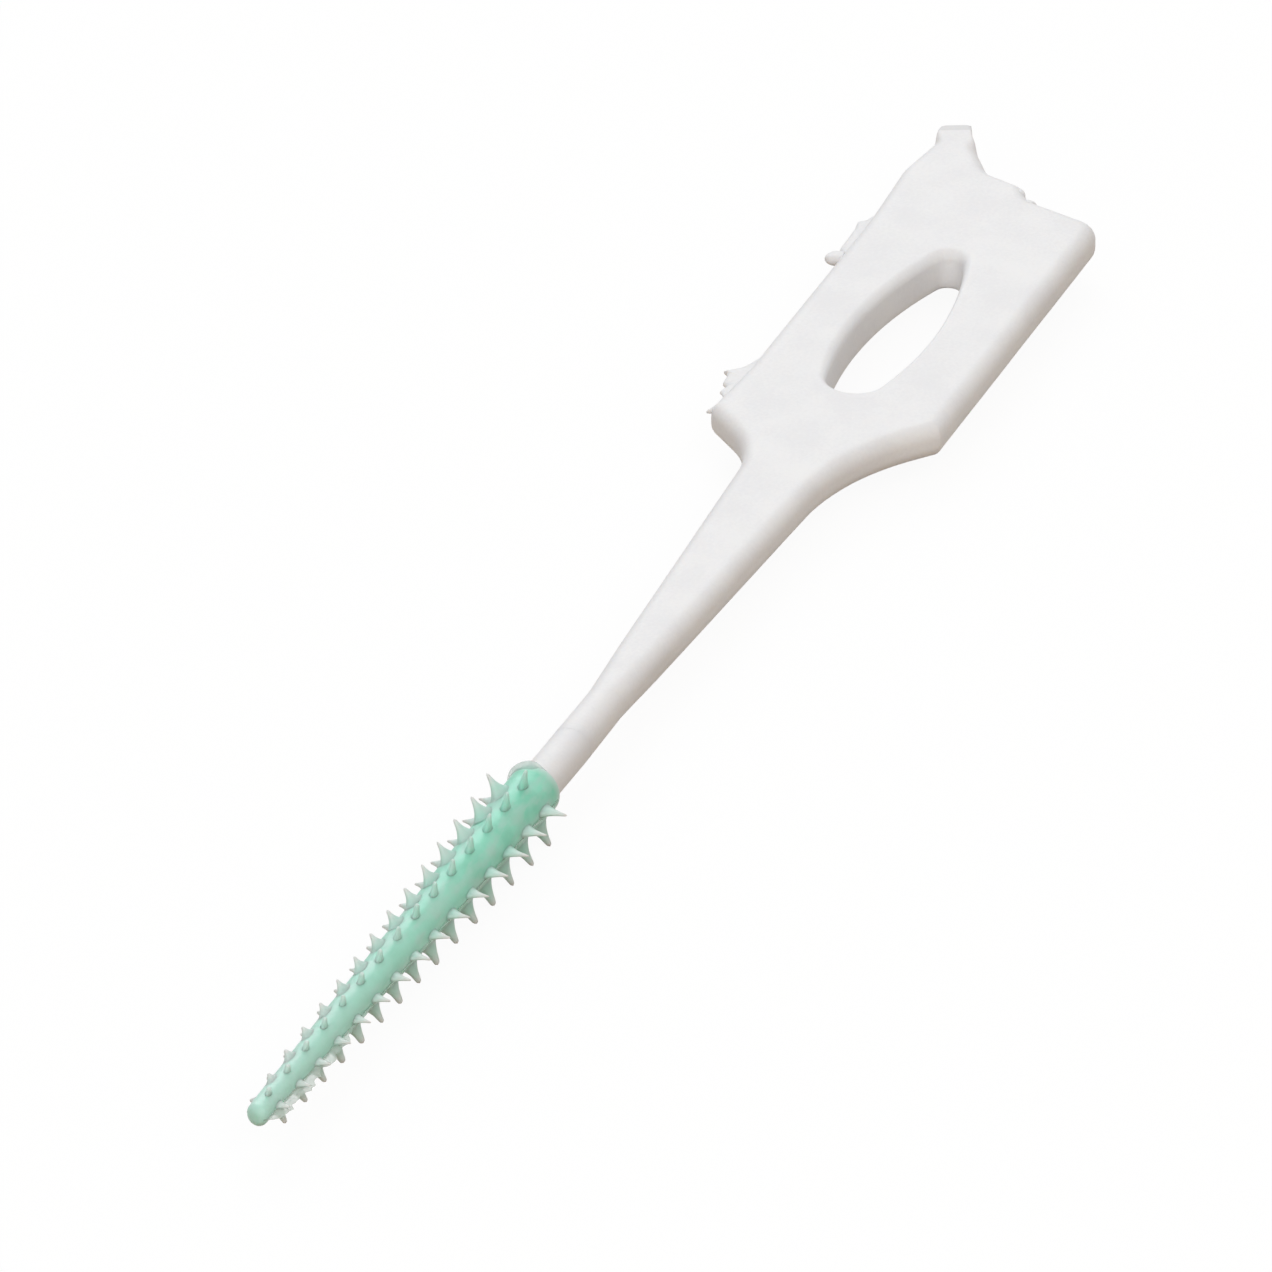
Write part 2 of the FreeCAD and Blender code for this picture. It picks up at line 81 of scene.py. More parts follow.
log = logging.getLogger("interdental_brush")

Colour = tuple[float, float, float]


class Slot(Enum):
    """Material slots of the record."""

    WHITE = "white_plastic"
    MINT = "mint_elastomer"


class Seed(IntEnum):
    """Numbers that fix the small differences of each surface."""

    MOULDING = 3
    SKIN = 5
    FLASH_WAVE = 11
    FLASH_TEAR = 12
    FILM = 17
    THORNS = 20


def linear(red: int, green: int, blue: int) -> Colour:
    """Linear colour from screen values: each channel over 255, with the screen's curve undone.

    Args:
        red: Screen value of the red channel, 0 to 255.
        green: Screen value of the green channel.
        blue: Screen value of the blue channel.

    Returns:
        The three channels as linear numbers from 0 to 1.
    """
    shares = np.array([red, green, blue]) / 255.0
    curved = np.where(shares <= 0.04045, shares / 12.92, ((shares + 0.055) / 1.055) ** 2.4)
    return tuple(float(value) for value in curved)


def smoothstep(low: float, high: float, values: np.ndarray) -> np.ndarray:
    """Soft step from 0 at low to 1 at high, t squared times (3 - 2 t).

    Args:
        low: Value where the step starts.
        high: Value where the step ends.
        values: Numbers to be stepped.

    Returns:
        One share from 0 to 1 for each value.
    """
    share = np.clip((values - low) / (high - low), 0.0, 1.0)
    return share * share * (3.0 - 2.0 * share)


def ripple(points: np.ndarray, length: float, seed: int) -> np.ndarray:
    """Slow unevenness of a moulded surface, between -1 and 1.

    The mean of sine waves in seeded directions, each of about the given length, times a
    gain that brings its crests near 1.

    Args:
        points: Places, one row of three numbers each.
        length: Wave length.
        seed: Number that fixes the directions and phases.

    Returns:
        One number for each place.
    """
    dice = np.random.default_rng(seed)
    directions = dice.normal(size=(WAVE_COUNT, 3))
    directions /= np.linalg.norm(directions, axis=1, keepdims=True)
    stretch = dice.uniform(0.7, 1.5, size=WAVE_COUNT)
    phases = dice.uniform(0.0, math.tau, size=WAVE_COUNT)
    waves = points @ directions.T * (math.tau / length) * stretch + phases
    return np.sin(waves).mean(axis=1) * WAVE_GAIN


def grid_faces(rows: int, columns: int) -> np.ndarray:
    """Quads of a tube whose points are numbered ring by ring.

    Args:
        rows: Number of rings.
        columns: Number of points in a ring, whose last point joins the first.

    Returns:
        One row of four point numbers for each quad.
    """
    row, column = np.meshgrid(np.arange(rows - 1), np.arange(columns), indexing="ij")
    here = row * columns + column
    beside = row * columns + (column + 1) % columns
    return np.stack([here, beside, beside + columns, here + columns], axis=-1).reshape(-1, 4)


def end_caps(rows: int, columns: int) -> np.ndarray:
    """Two faces that close the first and the last ring of a tube.

    Args:
        rows: Number of rings.
        columns: Number of points in a ring.

    Returns:
        One row of point numbers for each of the two faces.
    """
    ring = np.arange(columns)
    return np.stack([ring[::-1], ring + (rows - 1) * columns])


def around_core(along: np.ndarray, radius: np.ndarray, angle: np.ndarray) -> np.ndarray:
    """Points round the core: its place along, minus radius cosine, and radius sine.

    Args:
        along: Places on the core axis.
        radius: Distances from it.
        angle: Angles from the right upwards, in radians.

    Returns:
        One row of three numbers for each cell of the three, spread over one another.
    """
    axes = np.broadcast_arrays(along, -radius * np.cos(angle), radius * np.sin(angle))
    return np.stack(axes, axis=-1).reshape(-1, 3)


def mesh_object(
    name: str,
    points: np.ndarray,
    faces: list[np.ndarray],
    sharp_degrees: float = 50.0,
) -> bpy.types.Object:
    """Object with a smooth mesh of these points and faces, linked to the scene.

    Args:
        name: Name of the object and of its mesh.
        points: One row of three numbers for each point.
        faces: Arrays of faces, each with one number of corners.
        sharp_degrees: Angle between faces past which their edge is sharp.

    Returns:
        The new object, which sits at the origin.
    """
    mesh = bpy.data.meshes.new(name)
    corners = [tuple(face) for block in faces for face in block.tolist()]
    mesh.from_pydata(points.tolist(), [], corners)
    mesh.polygons.foreach_set("use_smooth", np.ones(len(mesh.polygons), dtype=bool))
    mesh.set_sharp_from_angle(angle=math.radians(sharp_degrees))
    mesh.update()
    made = bpy.data.objects.new(name, mesh)
    bpy.context.scene.collection.objects.link(made)
    return made


def close_poles(piece: bpy.types.Object, gap: float) -> None:
    """Merge points nearer than a gap, and turn the faces of each closed shell outwards.

    Args:
        piece: Object whose mesh is closed.
        gap: Largest distance between points that become one.
    """
    shell = bmesh.new()
    shell.from_mesh(piece.data)
    bmesh.ops.remove_doubles(shell, verts=shell.verts, dist=gap)
    bmesh.ops.dissolve_degenerate(shell, edges=shell.edges, dist=gap)
    bmesh.ops.recalc_face_normals(shell, faces=shell.faces)
    shell.to_mesh(piece.data)
    shell.free()


def make_piece(
    slot: Slot,
    name: str,
    points: np.ndarray,
    faces: list[np.ndarray],
    sharp_degrees: float,
    gap: float | None = POLE_GAP,
    **attributes: np.ndarray | float,
) -> bpy.types.Object:
    """Piece of the object, with the numbers for each point that its material reads.

    Args:
        slot: Its material slot in the record; not used.
        name: Name of the piece.
        points: One row of three numbers for each point.
        faces: Arrays of faces, each with one number of corners.
        sharp_degrees: Angle between faces past which their edge is sharp.
        gap: Largest distance between points that become one, or None for a mesh that is
            closed already.
        attributes: For each name, one number for each point or one for all.

    Returns:
        The new object.
    """
    made = mesh_object(name, points, faces, sharp_degrees)
    for attribute, values in attributes.items():
        layer = made.data.attributes.new(attribute, "FLOAT", "POINT")
        layer.data.foreach_set("value", (np.zeros(len(points)) + values).astype(np.float32))
    if gap is not None:
        close_poles(made, gap)
    return made


class Shade:
    """A value in shader maths: Python operators on it add Math nodes."""

    def __init__(self, sheet: "NodeSheet", socket: bpy.types.NodeSocket) -> None:
        """Wraps the socket of a node sheet."""
        self.sheet = sheet
        self.socket = socket

    def _math(self, operation: str, first: object, second: object) -> "Shade":
        """Math node of this operation on two values."""
        node = self.sheet.node("ShaderNodeMath", {0: first, 1: second}, operation=operation)
        return Shade(self.sheet, node.outputs[0])

    def __add__(self, other: object) -> "Shade":
        """Sum with another value."""
        return self._math("ADD", self, other)

    def __radd__(self, other: float) -> "Shade":
        """Sum with a number that stands first."""
        return self._math("ADD", other, self)

    def __sub__(self, other: object) -> "Shade":
        """Difference from another value."""
        return self._math("SUBTRACT", self, other)

    def __rsub__(self, other: float) -> "Shade":
        """Difference from a number that stands first."""
        return self._math("SUBTRACT", other, self)

    def __mul__(self, other: object) -> "Shade":
        """Product with another value."""
        return self._math("MULTIPLY", self, other)

    def __rmul__(self, other: float) -> "Shade":
        """Product with a number that stands first."""
        return self._math("MULTIPLY", other, self)

    def ramp(self, low: float, high: float) -> "Shade":
        """Soft step from 0 at low to 1 at high.

        Args:
            low: Value where the step starts.
            high: Value where the step ends.

        Returns:
            The stepped value.
        """
        values = {"Value": self, "From Min": low, "From Max": high}
        node = self.sheet.node("ShaderNodeMapRange", values, interpolation_type="SMOOTHSTEP")
        return Shade(self.sheet, node.outputs["Result"])


class NodeSheet:
    """The nodes of one material or of the world."""

    def __init__(self, owner: bpy.types.Material | bpy.types.World) -> None:
        """Empties the owner's nodes and gives it a new output.

        Args:
            owner: Material or world that the nodes belong to.
        """
        self.owner = owner
        owner.use_nodes = True
        self.tree = owner.node_tree
        self.tree.nodes.clear()
        kind = "World" if isinstance(owner, bpy.types.World) else "Material"
        self.output = self.node("ShaderNodeOutput" + kind)

    def node(self, kind: str, values: dict | None = None, **settings: object) -> bpy.types.Node:
        """A node with its settings first and then the values or links of its sockets.

        Args:
            kind: Type of the node.
            values: For each socket's name or place, a number, a colour or a link.
            settings: Fields of the node itself.

        Returns:
            The new node.
        """
        made = self.tree.nodes.new(kind)
        for word, setting in settings.items():
            setattr(made, word, setting)
        for place, value in (values or {}).items():
            if isinstance(value, Shade):
                value = value.socket
            if isinstance(value, bpy.types.NodeSocket):
                self.tree.links.new(value, made.inputs[place])
            else:
                made.inputs[place].default_value = value
        return made

    def places(self) -> bpy.types.NodeSocket:
        """Object coordinates, which are the frame's own."""
        return self.node("ShaderNodeTexCoord").outputs["Object"]

    def attribute(self, name: str) -> Shade:
        """Number that the mesh holds for each point under this name."""
        return Shade(self, self.node("ShaderNodeAttribute", attribute_name=name).outputs["Fac"])

    def seen(self) -> Shade:
        """1 for camera, glossy and transmission rays, which see the studio white, else 0.

        Returns:
            The sum of the three, which a Mix Shader holds at 1.
        """
        rays = self.node("ShaderNodeLightPath").outputs
        camera, glossy, through = [
            Shade(self, rays[f"Is {kind} Ray"]) for kind in ("Camera", "Glossy", "Transmission")
        ]
        return camera + glossy + through

    def noise(self, length: float, detail: float, stretch: Colour = (1.0, 1.0, 1.0)) -> Shade:
        """Noise between 0 and 1 in object coordinates.

        Args:
            length: Size of the grains, in metres.
            detail: Number of finer layers.
            stretch: Scale along each axis before the noise is read.

        Returns:
            The noise.
        """
        mapping = self.node("ShaderNodeMapping", {"Vector": self.places(), "Scale": stretch})
        values = {"Vector": mapping.outputs[0], "Scale": 1.0 / length, "Detail": detail}
        return Shade(self, self.node("ShaderNodeTexNoise", values).outputs["Fac"])

    def blend(self, low: object, high: object, share: Shade) -> bpy.types.NodeSocket:
        """Colour between two colours.

        Args:
            low: Colour or link where the share is 0.
            high: Colour or link where the share is 1.
            share: Share of the second colour.

        Returns:
            The mixed colour's socket.
        """
        colours = {
            place: value if isinstance(value, bpy.types.NodeSocket) else (*value, 1.0)
            for place, value in ((MIX_LOW, low), (MIX_HIGH, high))
        }
        node = self.node("ShaderNodeMix", {MIX_SHARE: share, **colours}, data_type="RGBA")
        return node.outputs[MIX_COLOUR]

    def bump(self, height: Shade, distance: float) -> bpy.types.NodeSocket:
        """Normal that a height between 0 and 1 bends, with its depth in metres."""
        values = {"Height": height, "Distance": distance, "Strength": 1.0}
        return self.node("ShaderNodeBump", values).outputs["Normal"]

    def finish(self, surface: bpy.types.Node) -> bpy.types.Material | bpy.types.World:
        """Link the last node to the output.

        Args:
            surface: Shader node of the surface or the background.

        Returns:
            The finished material or world.
        """
        self.tree.links.new(surface.outputs[0], self.output.inputs["Surface"])
        return self.owner


def plastic(sheet: NodeSheet, values: dict[str, object]) -> bpy.types.Material:
    """Finished material of a Principled surface.

    Args:
        sheet: Nodes of the material.
        values: For each socket's name, a number, a colour or a link.

    Returns:
        The finished material.
    """
    return sheet.finish(sheet.node("ShaderNodeBsdfPrincipled", values))


@dataclass(frozen=True)
class MouldedWhite:
    """Matt white polypropylene with a faint spark-eroded grain, and a painted shade of grey on the
    spur's sloped cut face.
    """

    base: Colour = linear(240, 240, 241)
    cloud: Colour = linear(234, 234, 236)
    # Grey of the cut face: painted shade of a slope that turns from the light.
    cut: Colour = linear(224, 224, 225)
    grain_length: float = 0.11 * MM
    cloud_length: float = 1.6 * MM
    grain_depth: float = 0.004 * MM
    wave_depth: float = 0.03 * MM
    cloud_detail: float = 3.0
    grain_detail: float = 2.0
    cloud_share: float = 0.6
    cloud_span: tuple[float, float] = (0.35, 0.65)
    roughness: float = 0.47
    roughness_spread: float = 0.12
    glow_weight: float = 0.2
    glow_radius: Colour = (1.0, 0.82, 0.66)
    glow_scale: float = 0.4 * MM
    specular: float = 0.35

    def build(self) -> bpy.types.Material:
        """Mottled white: slow clouds and fine grain in the colour, both raised a little.

        Returns:
            The new material, which reads the mesh's own share of the cut colour, a painted shade.
        """
        sheet = NodeSheet(bpy.data.materials.new("moulded_white"))
        cloud = sheet.noise(self.cloud_length, self.cloud_detail)
        grain = sheet.noise(self.grain_length, self.grain_detail)
        mottle = cloud * self.cloud_share + grain * (1.0 - self.cloud_share)
        mottled = sheet.blend(self.base, self.cloud, mottle.ramp(*self.cloud_span))
        # The mesh's cut share paints the shade grey onto the sloped cut face and the torn scraps.
        colour = sheet.blend(mottled, self.cut, sheet.attribute("cut"))
        height = grain * self.grain_depth + cloud * self.wave_depth
        return plastic(sheet, {
            "Base Color": colour,
            "Roughness": self.roughness + (grain - 0.5) * self.roughness_spread,
            "Normal": sheet.bump(height, 1.0),
            "Subsurface Weight": self.glow_weight,
            "Subsurface Radius": self.glow_radius,
            "Subsurface Scale": self.glow_scale,
            "Specular IOR Level": self.specular,
        })


@dataclass(frozen=True)
class MintRubber:
    """Soft mint elastomer: milky, half glossy, paler and greyer in thin tips."""

    name: str
    body: Colour = linear(151, 228, 204)
    deep: Colour = linear(133, 215, 188)
    haze: Colour = linear(182, 219, 207)
    pale: Colour = linear(187, 229, 216)
    thin: Colour = linear(226, 231, 231)
    alpha: float = 1.0
    cloud_length: float = 0.9 * MM
    haze_length: float = 0.55 * MM
    grain_length: float = 0.14 * MM
    wave_depth: float = 0.05 * MM
    grain_depth: float = 0.006 * MM
    cloud_detail: float = 3.0
    grain_detail: float = 2.0
    cloud_span: tuple[float, float] = (0.35, 0.7)
    haze_span: tuple[float, float] = (0.42, 0.68)
    haze_stretch: Colour = (0.5, 1.4, 1.4)
    haze_share: float = 0.6
    roughness: float = 0.36
    roughness_spread: float = 0.2
    glow_weight: float = 0.7
    glow_radius: Colour = (0.8, 1.0, 0.95)
    glow_scale: float = 0.4 * MM
    specular: float = 0.5

    def build(self) -> bpy.types.Material:
        """Clouded mint that turns to the pale and thin colours with the mesh's own values.

        Returns:
            The new material.
        """
        sheet = NodeSheet(bpy.data.materials.new(self.name))
        cloud = sheet.noise(self.cloud_length, self.cloud_detail)
        grain = sheet.noise(self.grain_length, self.grain_detail)
        clouded = sheet.blend(self.body, self.deep, cloud.ramp(*self.cloud_span))
        streaks = sheet.noise(self.haze_length, self.cloud_detail, self.haze_stretch)
        haze = streaks.ramp(*self.haze_span) * self.haze_share
        hazy = sheet.blend(clouded, self.haze, haze)
        paled = sheet.blend(hazy, self.pale, sheet.attribute("pale"))
        colour = sheet.blend(paled, self.thin, sheet.attribute("thin"))
        height = grain * self.grain_depth + cloud * self.wave_depth
        return plastic(sheet, {
            "Base Color": colour,
            "Roughness": self.roughness + (cloud - 0.5) * self.roughness_spread,
            "Normal": sheet.bump(height, 1.0),
            "Subsurface Weight": self.glow_weight,
            "Subsurface Radius": self.glow_radius,
            "Subsurface Scale": self.glow_scale,
            "Specular IOR Level": self.specular,
            "Alpha": self.alpha,
        })


@dataclass
class Datum:
    """Where the small end of the shank lies on the core axis, and how the neck is set.

    Pieces are worked out with that place as the origin, the handle towards +X and the
    plate's upper side towards +Z.
    """

    origin: np.ndarray
    neck_length: float = 5.2 * MM
    set_degrees: float = 1.4

    @classmethod
    def from_frame(cls, handle_reach: float, plate_right: float) -> "Datum":
        """Datum read from the handle's box.

        Args:
            handle_reach: Small end of the shank to the farthest point of the handle.
            plate_right: Core axis to the right edge of the plate.

        Returns:
            The datum.
        """
        low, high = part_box("handle")
        middle = (low.z + high.z) / 2.0
        return cls(np.array([high.x - handle_reach, low.y + plate_right, middle]))

    def put(self, points: np.ndarray) -> np.ndarray:
        """Points of the handle, moved to their place in the frame."""
        return points + self.origin

    def put_neck(self, points: np.ndarray) -> np.ndarray:
        """Points of the neck, bent sideways and moved to their place.

        The centre line leaves the shank straight and turns evenly up to the set angle at
        the sleeve's mouth, so its sideways shift grows with the square of the distance.

        Args:
            points: Places along the straight neck.

        Returns:
            The bent and moved places.
        """
        reach = np.clip(-points[:, 0], 0.0, None)
        slope = math.tan(math.radians(self.set_degrees)) / self.neck_length
        bent = points.copy()
        bent[:, 1] += slope * reach * reach / 2.0
        return self.put(bent)

    def put_brush(self, points: np.ndarray) -> np.ndarray:
        """Points of the brush, turned about the middle of the neck and moved.

        Args:
            points: Places with the core straight along X.

        Returns:
            The turned and moved places.
        """
        angle = -math.radians(self.set_degrees)
        middle = np.array([-self.neck_length / 2.0, 0.0, 0.0])
        turn = np.array([
            [math.cos(angle), -math.sin(angle), 0.0],
            [math.sin(angle), math.cos(angle), 0.0],
            [0.0, 0.0, 1.0],
        ])
        return self.put((points - middle) @ turn.T + middle)

    def joint_place(self, along: float) -> tuple[float, float, float]:
        """Point on the core axis in the frame."""
        return tuple(float(value) for value in self.put(np.array([[along, 0.0, 0.0]]))[0])


@dataclass(frozen=True)
class Corner:
    """Corner of an outline: place along the core axis, place across it, and rounding."""

    along: float
    across: float
    rounding: float = 0.0


def rounded_outline(corners: list[Corner], spacing: float, turn: float = 7.0) -> np.ndarray:
    """Closed outline with each corner rounded by an arc that touches both sides.

    The arc starts at rounding over the tangent of half the inner angle from the corner.
    Its points are worked out by turning about the arc's centre in even steps.

    Args:
        corners: Corners in order.
        spacing: Distance from point to point on straight runs.
        turn: Largest turn from point to point on an arc, in degrees.

    Returns:
        Points of the outline, one row of two numbers each.
    """
    places = np.array([[corner.along, corner.across] for corner in corners])
    stretches = []
    for index, corner in enumerate(corners):
        here = places[index]
        before = places[index - 1] - here
        after = places[(index + 1) % len(corners)] - here
        before = before / np.linalg.norm(before)
        after = after / np.linalg.norm(after)
        if corner.rounding == 0.0:
            stretches.append(here[None, :])
            continue
        inner = math.acos(float(np.clip(before @ after, -1.0, 1.0)))
        centre_line = (before + after) / np.linalg.norm(before + after)
        centre = here + centre_line * corner.rounding / math.sin(inner / 2.0)
        start = here + before * corner.rounding / math.tan(inner / 2.0) - centre
        side = before[0] * after[1] - before[1] * after[0]
        sweep = math.copysign(math.pi - inner, -side)
        by_turn = int(abs(sweep) / math.radians(turn))
        steps = max(3, by_turn, int(abs(sweep) * corner.rounding / spacing))
        angles = math.atan2(start[1], start[0]) + np.linspace(0.0, sweep, steps + 1)
        arc = centre + corner.rounding * np.stack([np.cos(angles), np.sin(angles)], axis=1)
        stretches.append(arc)
    outline = []
    for index, stretch in enumerate(stretches):
        outline.append(stretch)
        gap_end = stretches[(index + 1) % len(stretches)][0]
        gap_start = stretch[-1]
        count = int(np.linalg.norm(gap_end - gap_start) / spacing)
        shares = (np.arange(count) + 1.0)[:, None] / (count + 1.0)
        outline.append(gap_start + (gap_end - gap_start) * shares)
    return np.concatenate(outline)


def distance_to_line(points: np.ndarray, line: np.ndarray, closed: bool) -> np.ndarray:
    """Shortest distance from each point to a line of straight stretches.

    Args:
        points: Places in the plan.
        line: Points of the line.
        closed: Whether the last point joins the first.

    Returns:
        One distance for each place.
    """
    starts = line if closed else line[:-1]
    ends = np.roll(line, -1, axis=0) if closed else line[1:]
    runs = ends - starts
    lengths = np.maximum((runs * runs).sum(axis=1), TINY * TINY)
    nearest = np.full(len(points), np.inf)
    for block in np.array_split(np.arange(len(points)), max(1, len(points) // BLOCK_SIZE)):
        offset = points[block][:, None, :] - starts[None, :, :]
        share = np.clip((offset * runs).sum(axis=2) / lengths, 0.0, 1.0)
        gap = offset - share[:, :, None] * runs
        nearest[block] = np.sqrt((gap * gap).sum(axis=2).min(axis=1))
    return nearest


def inside_outline(points: np.ndarray, outline: np.ndarray) -> np.ndarray:
    """Whether each point lies in a closed outline, by counting the sides that it sees.

    Args:
        points: Places in the plan.
        outline: Points of the closed outline.

    Returns:
        One truth value for each place.
    """
    ends = np.roll(outline, -1, axis=0)
    across = points[:, 1][:, None]
    spans = (outline[:, 1] > across) != (ends[:, 1] > across)
    rise = np.where(ends[:, 1] == outline[:, 1], TINY, ends[:, 1] - outline[:, 1])
    crossing = outline[:, 0] + (across - outline[:, 1]) / rise * (ends[:, 0] - outline[:, 0])
    return (spans & (crossing > points[:, 0][:, None])).sum(axis=1) % 2 == 1


def left_ring(outline: np.ndarray, offset: float) -> np.ndarray:
    """Outline moved to the left of its running direction, square to it at each point.

    Args:
        outline: Points of the closed outline.
        offset: Distance by which it moves.

    Returns:
        The moved points.
    """
    run = np.roll(outline, -1, axis=0) - np.roll(outline, 1, axis=0)
    run /= np.linalg.norm(run, axis=1, keepdims=True)
    return outline + np.stack([-run[:, 1], run[:, 0]], axis=1) * offset


def rim_drop(distance: np.ndarray, rounding: np.ndarray) -> np.ndarray:
    """How far a rounded rim lies below the flat face, a quarter circle of the rounding.

    Args:
        distance: Distance from the outline.
        rounding: Radius of the rim at each place.

    Returns:
        Drop at each place: rounding - sqrt(rounding^2 - (rounding - distance)^2).
    """
    short = np.clip(rounding - distance, 0.0, rounding)
    return rounding - np.sqrt(np.maximum(rounding * rounding - short * short, 0.0))


@dataclass
class WhiteMoulding:
    """Plate, shank and neck: one white moulding, with the same sizes as in the source."""

    datum: Datum | None = None
    handle_length: float = 32.85 * MM
    half_thickness: float = 0.615 * MM
    plate_left: float = 3.37 * MM
    plate_right: float = 3.65 * MM
    shank_length: float = 15.3 * MM
    small_half: float = 0.605 * MM
    wide_half: float = 1.45 * MM
    shoulder_run: float = 1.9 * MM
    shoulder_swell: float = 0.2 * MM
    swell_run: float = 2.85 * MM
    left_root_lag: float = 0.1 * MM
    right_root_lag: float = 0.7 * MM
    right_shoulder_run: float = 2.65 * MM
    spur_length: float = 4.2 * MM
    spur_tip_width: float = 0.88 * MM
    spur_lean: float = 0.08 * MM
    spur_flank_reach: float = 3.35 * MM
    spur_flank_side: float = 2.2 * MM
    spur_skew: float = 0.4 * MM
    spur_bulge: float = 0.2 * MM
    spur_bulge_reach: float = 0.7 * MM
    spur_bulge_run: float = 3.4 * MM
    spur_waist_reach: float = 2.75 * MM
    spur_waist_side: float = 3.27 * MM
    spur_root_reach: float = 1.5 * MM
    spur_root_side: float = 0.9 * MM
    step_reach: float = 1.1 * MM
    step_side: float = 0.45 * MM
    step_slope: float = 0.5 * MM
    end_slant: float = 0.7 * MM
    rim: float = 0.49 * MM
    neck_rim: float = 0.6 * MM
    cut_rim: float = 0.07 * MM
    neck_half: float = 0.635 * MM
    hole_lead: float = 4.2 * MM
    hole_end_margin: float = 3.95 * MM
    hole_width_share: float = 0.277
    hole_blunt_share: float = 0.365
    hole_narrow_share: float = 0.173
    hole_side: float = 0.07 * MM
    hole_rim: float = 0.36 * MM
    hole_near_rim: float = 0.15 * MM
    hole_under_rim: float = 0.08 * MM
    hole_draft_along: float = 0.2 * MM
    hole_draft_across: float = 0.06 * MM
    hole_draft_fade: float = 0.8 * MM
    cut_face_run: float = 0.6 * MM
    cut_face_drop: float = 0.12 * MM
    cut_shade_threshold: float = 0.02
    cut_line_spacing: float = 0.06 * MM
    cut_line_gap: float = 0.02 * MM
    neck_fade_from: float = -0.4 * MM
    rim_fade_to: float = 3.0 * MM
    height_fade_to: float = 1.5 * MM
    hole_halvings: int = 50
    hole_end_steps: tuple[int, int] = (26, 20)
    hole_flank_steps: int = 56
    hole_rim_turn: float = 0.7
    hole_draft_limit: float = 1.1
    wave: float = 0.006 * MM
    wave_length: float = 6.0 * MM
    spacing: float = 0.14 * MM
    inner_spacing: float = 0.42 * MM
    ring_gap_share: float = 0.93
    lattice_outline_share: float = 1.15
    lattice_hole_share: float = 1.4
    outline_clearance: float = 0.004 * MM
    hole_clearance: float = 0.0005 * MM
    rim_steps: int = 9
    wall_steps: int = 4
    cut_tolerance: float = 0.001 * MM
    sharp_degrees: float = 48.0
    roundings: dict[str, float] = field(default_factory=lambda: {
        "right_foot": 8.0 * MM,
        "right_corner": 0.25 * MM,
        "end_corner": 0.8 * MM,
        "step": 0.5 * MM,
        "spur_root": 0.8 * MM,
        "spur_flank": 1.5 * MM,
        "spur_waist": 0.8 * MM,
        "spur_swell": 1.5 * MM,
        "shoulder": 0.5 * MM,
        "left_root": 3.0 * MM,
        "neck": 2.0 * MM,
    })

    @property
    def reach(self) -> float:
        """Small end of the shank to the tip of the spur."""
        return self.handle_length + self.spur_length

    @property
    def hole_span(self) -> tuple[float, float, float]:
        """Where the hole lies along the core axis, and how large it is.

        Returns:
            Place of its blunt end, its length and its half width.
        """
        start = self.shank_length + self.hole_lead
        length = self.handle_length - self.hole_end_margin - start
        return start, length, length * self.hole_width_share / 2.0

    def corners(self) -> list[Corner]:
        """Corners of the plan, from the neck's cut along the right side and back.

        Returns:
            The corners in order, with the inside of the plan on their left.
        """
        rounding = self.roundings
        cut = -self.datum.neck_length / 2.0
        right_root = self.shank_length + self.right_root_lag
        right_corner = right_root + self.right_shoulder_run
        left_root = self.shank_length + self.left_root_lag
        shoulder = self.shank_length + self.shoulder_run
        swell = self.handle_length + self.spur_bulge_reach
        spur_side = self.plate_left + self.spur_lean
        step_in = -(self.step_side + self.step_slope)
        end = self.handle_length
        slant = self.end_slant / 2.0
        return [
            Corner(cut, -self.neck_half),
            Corner(0.0, -self.small_half, rounding["neck"]),
            Corner(right_root, -self.wide_half, rounding["right_foot"]),
            Corner(right_corner, -self.plate_right, rounding["right_corner"]),
            Corner(end - slant, -self.plate_right, rounding["end_corner"]),
            Corner(end + slant, step_in, rounding["step"]),
            Corner(end + self.step_reach, -self.step_side, rounding["step"]),
            Corner(end + self.spur_root_reach, self.spur_root_side, rounding["spur_root"]),
            Corner(end + self.spur_flank_reach, self.spur_flank_side, rounding["spur_flank"]),
            Corner(self.reach, spur_side - self.spur_tip_width),
            Corner(self.reach - self.spur_skew, spur_side),
            Corner(end + self.spur_waist_reach, self.spur_waist_side, rounding["spur_waist"]),
            Corner(swell, self.plate_left + self.spur_bulge, rounding["spur_swell"]),
            Corner(swell - self.spur_bulge_run, self.plate_left, rounding["spur_swell"]),
            Corner(shoulder + self.swell_run, self.plate_left, rounding["spur_swell"]),
            Corner(shoulder, self.plate_left + self.shoulder_swell, rounding["shoulder"]),
            Corner(left_root, self.wide_half, rounding["left_root"]),
            Corner(0.0, self.small_half, rounding["neck"]),
            Corner(cut, self.neck_half),
        ]

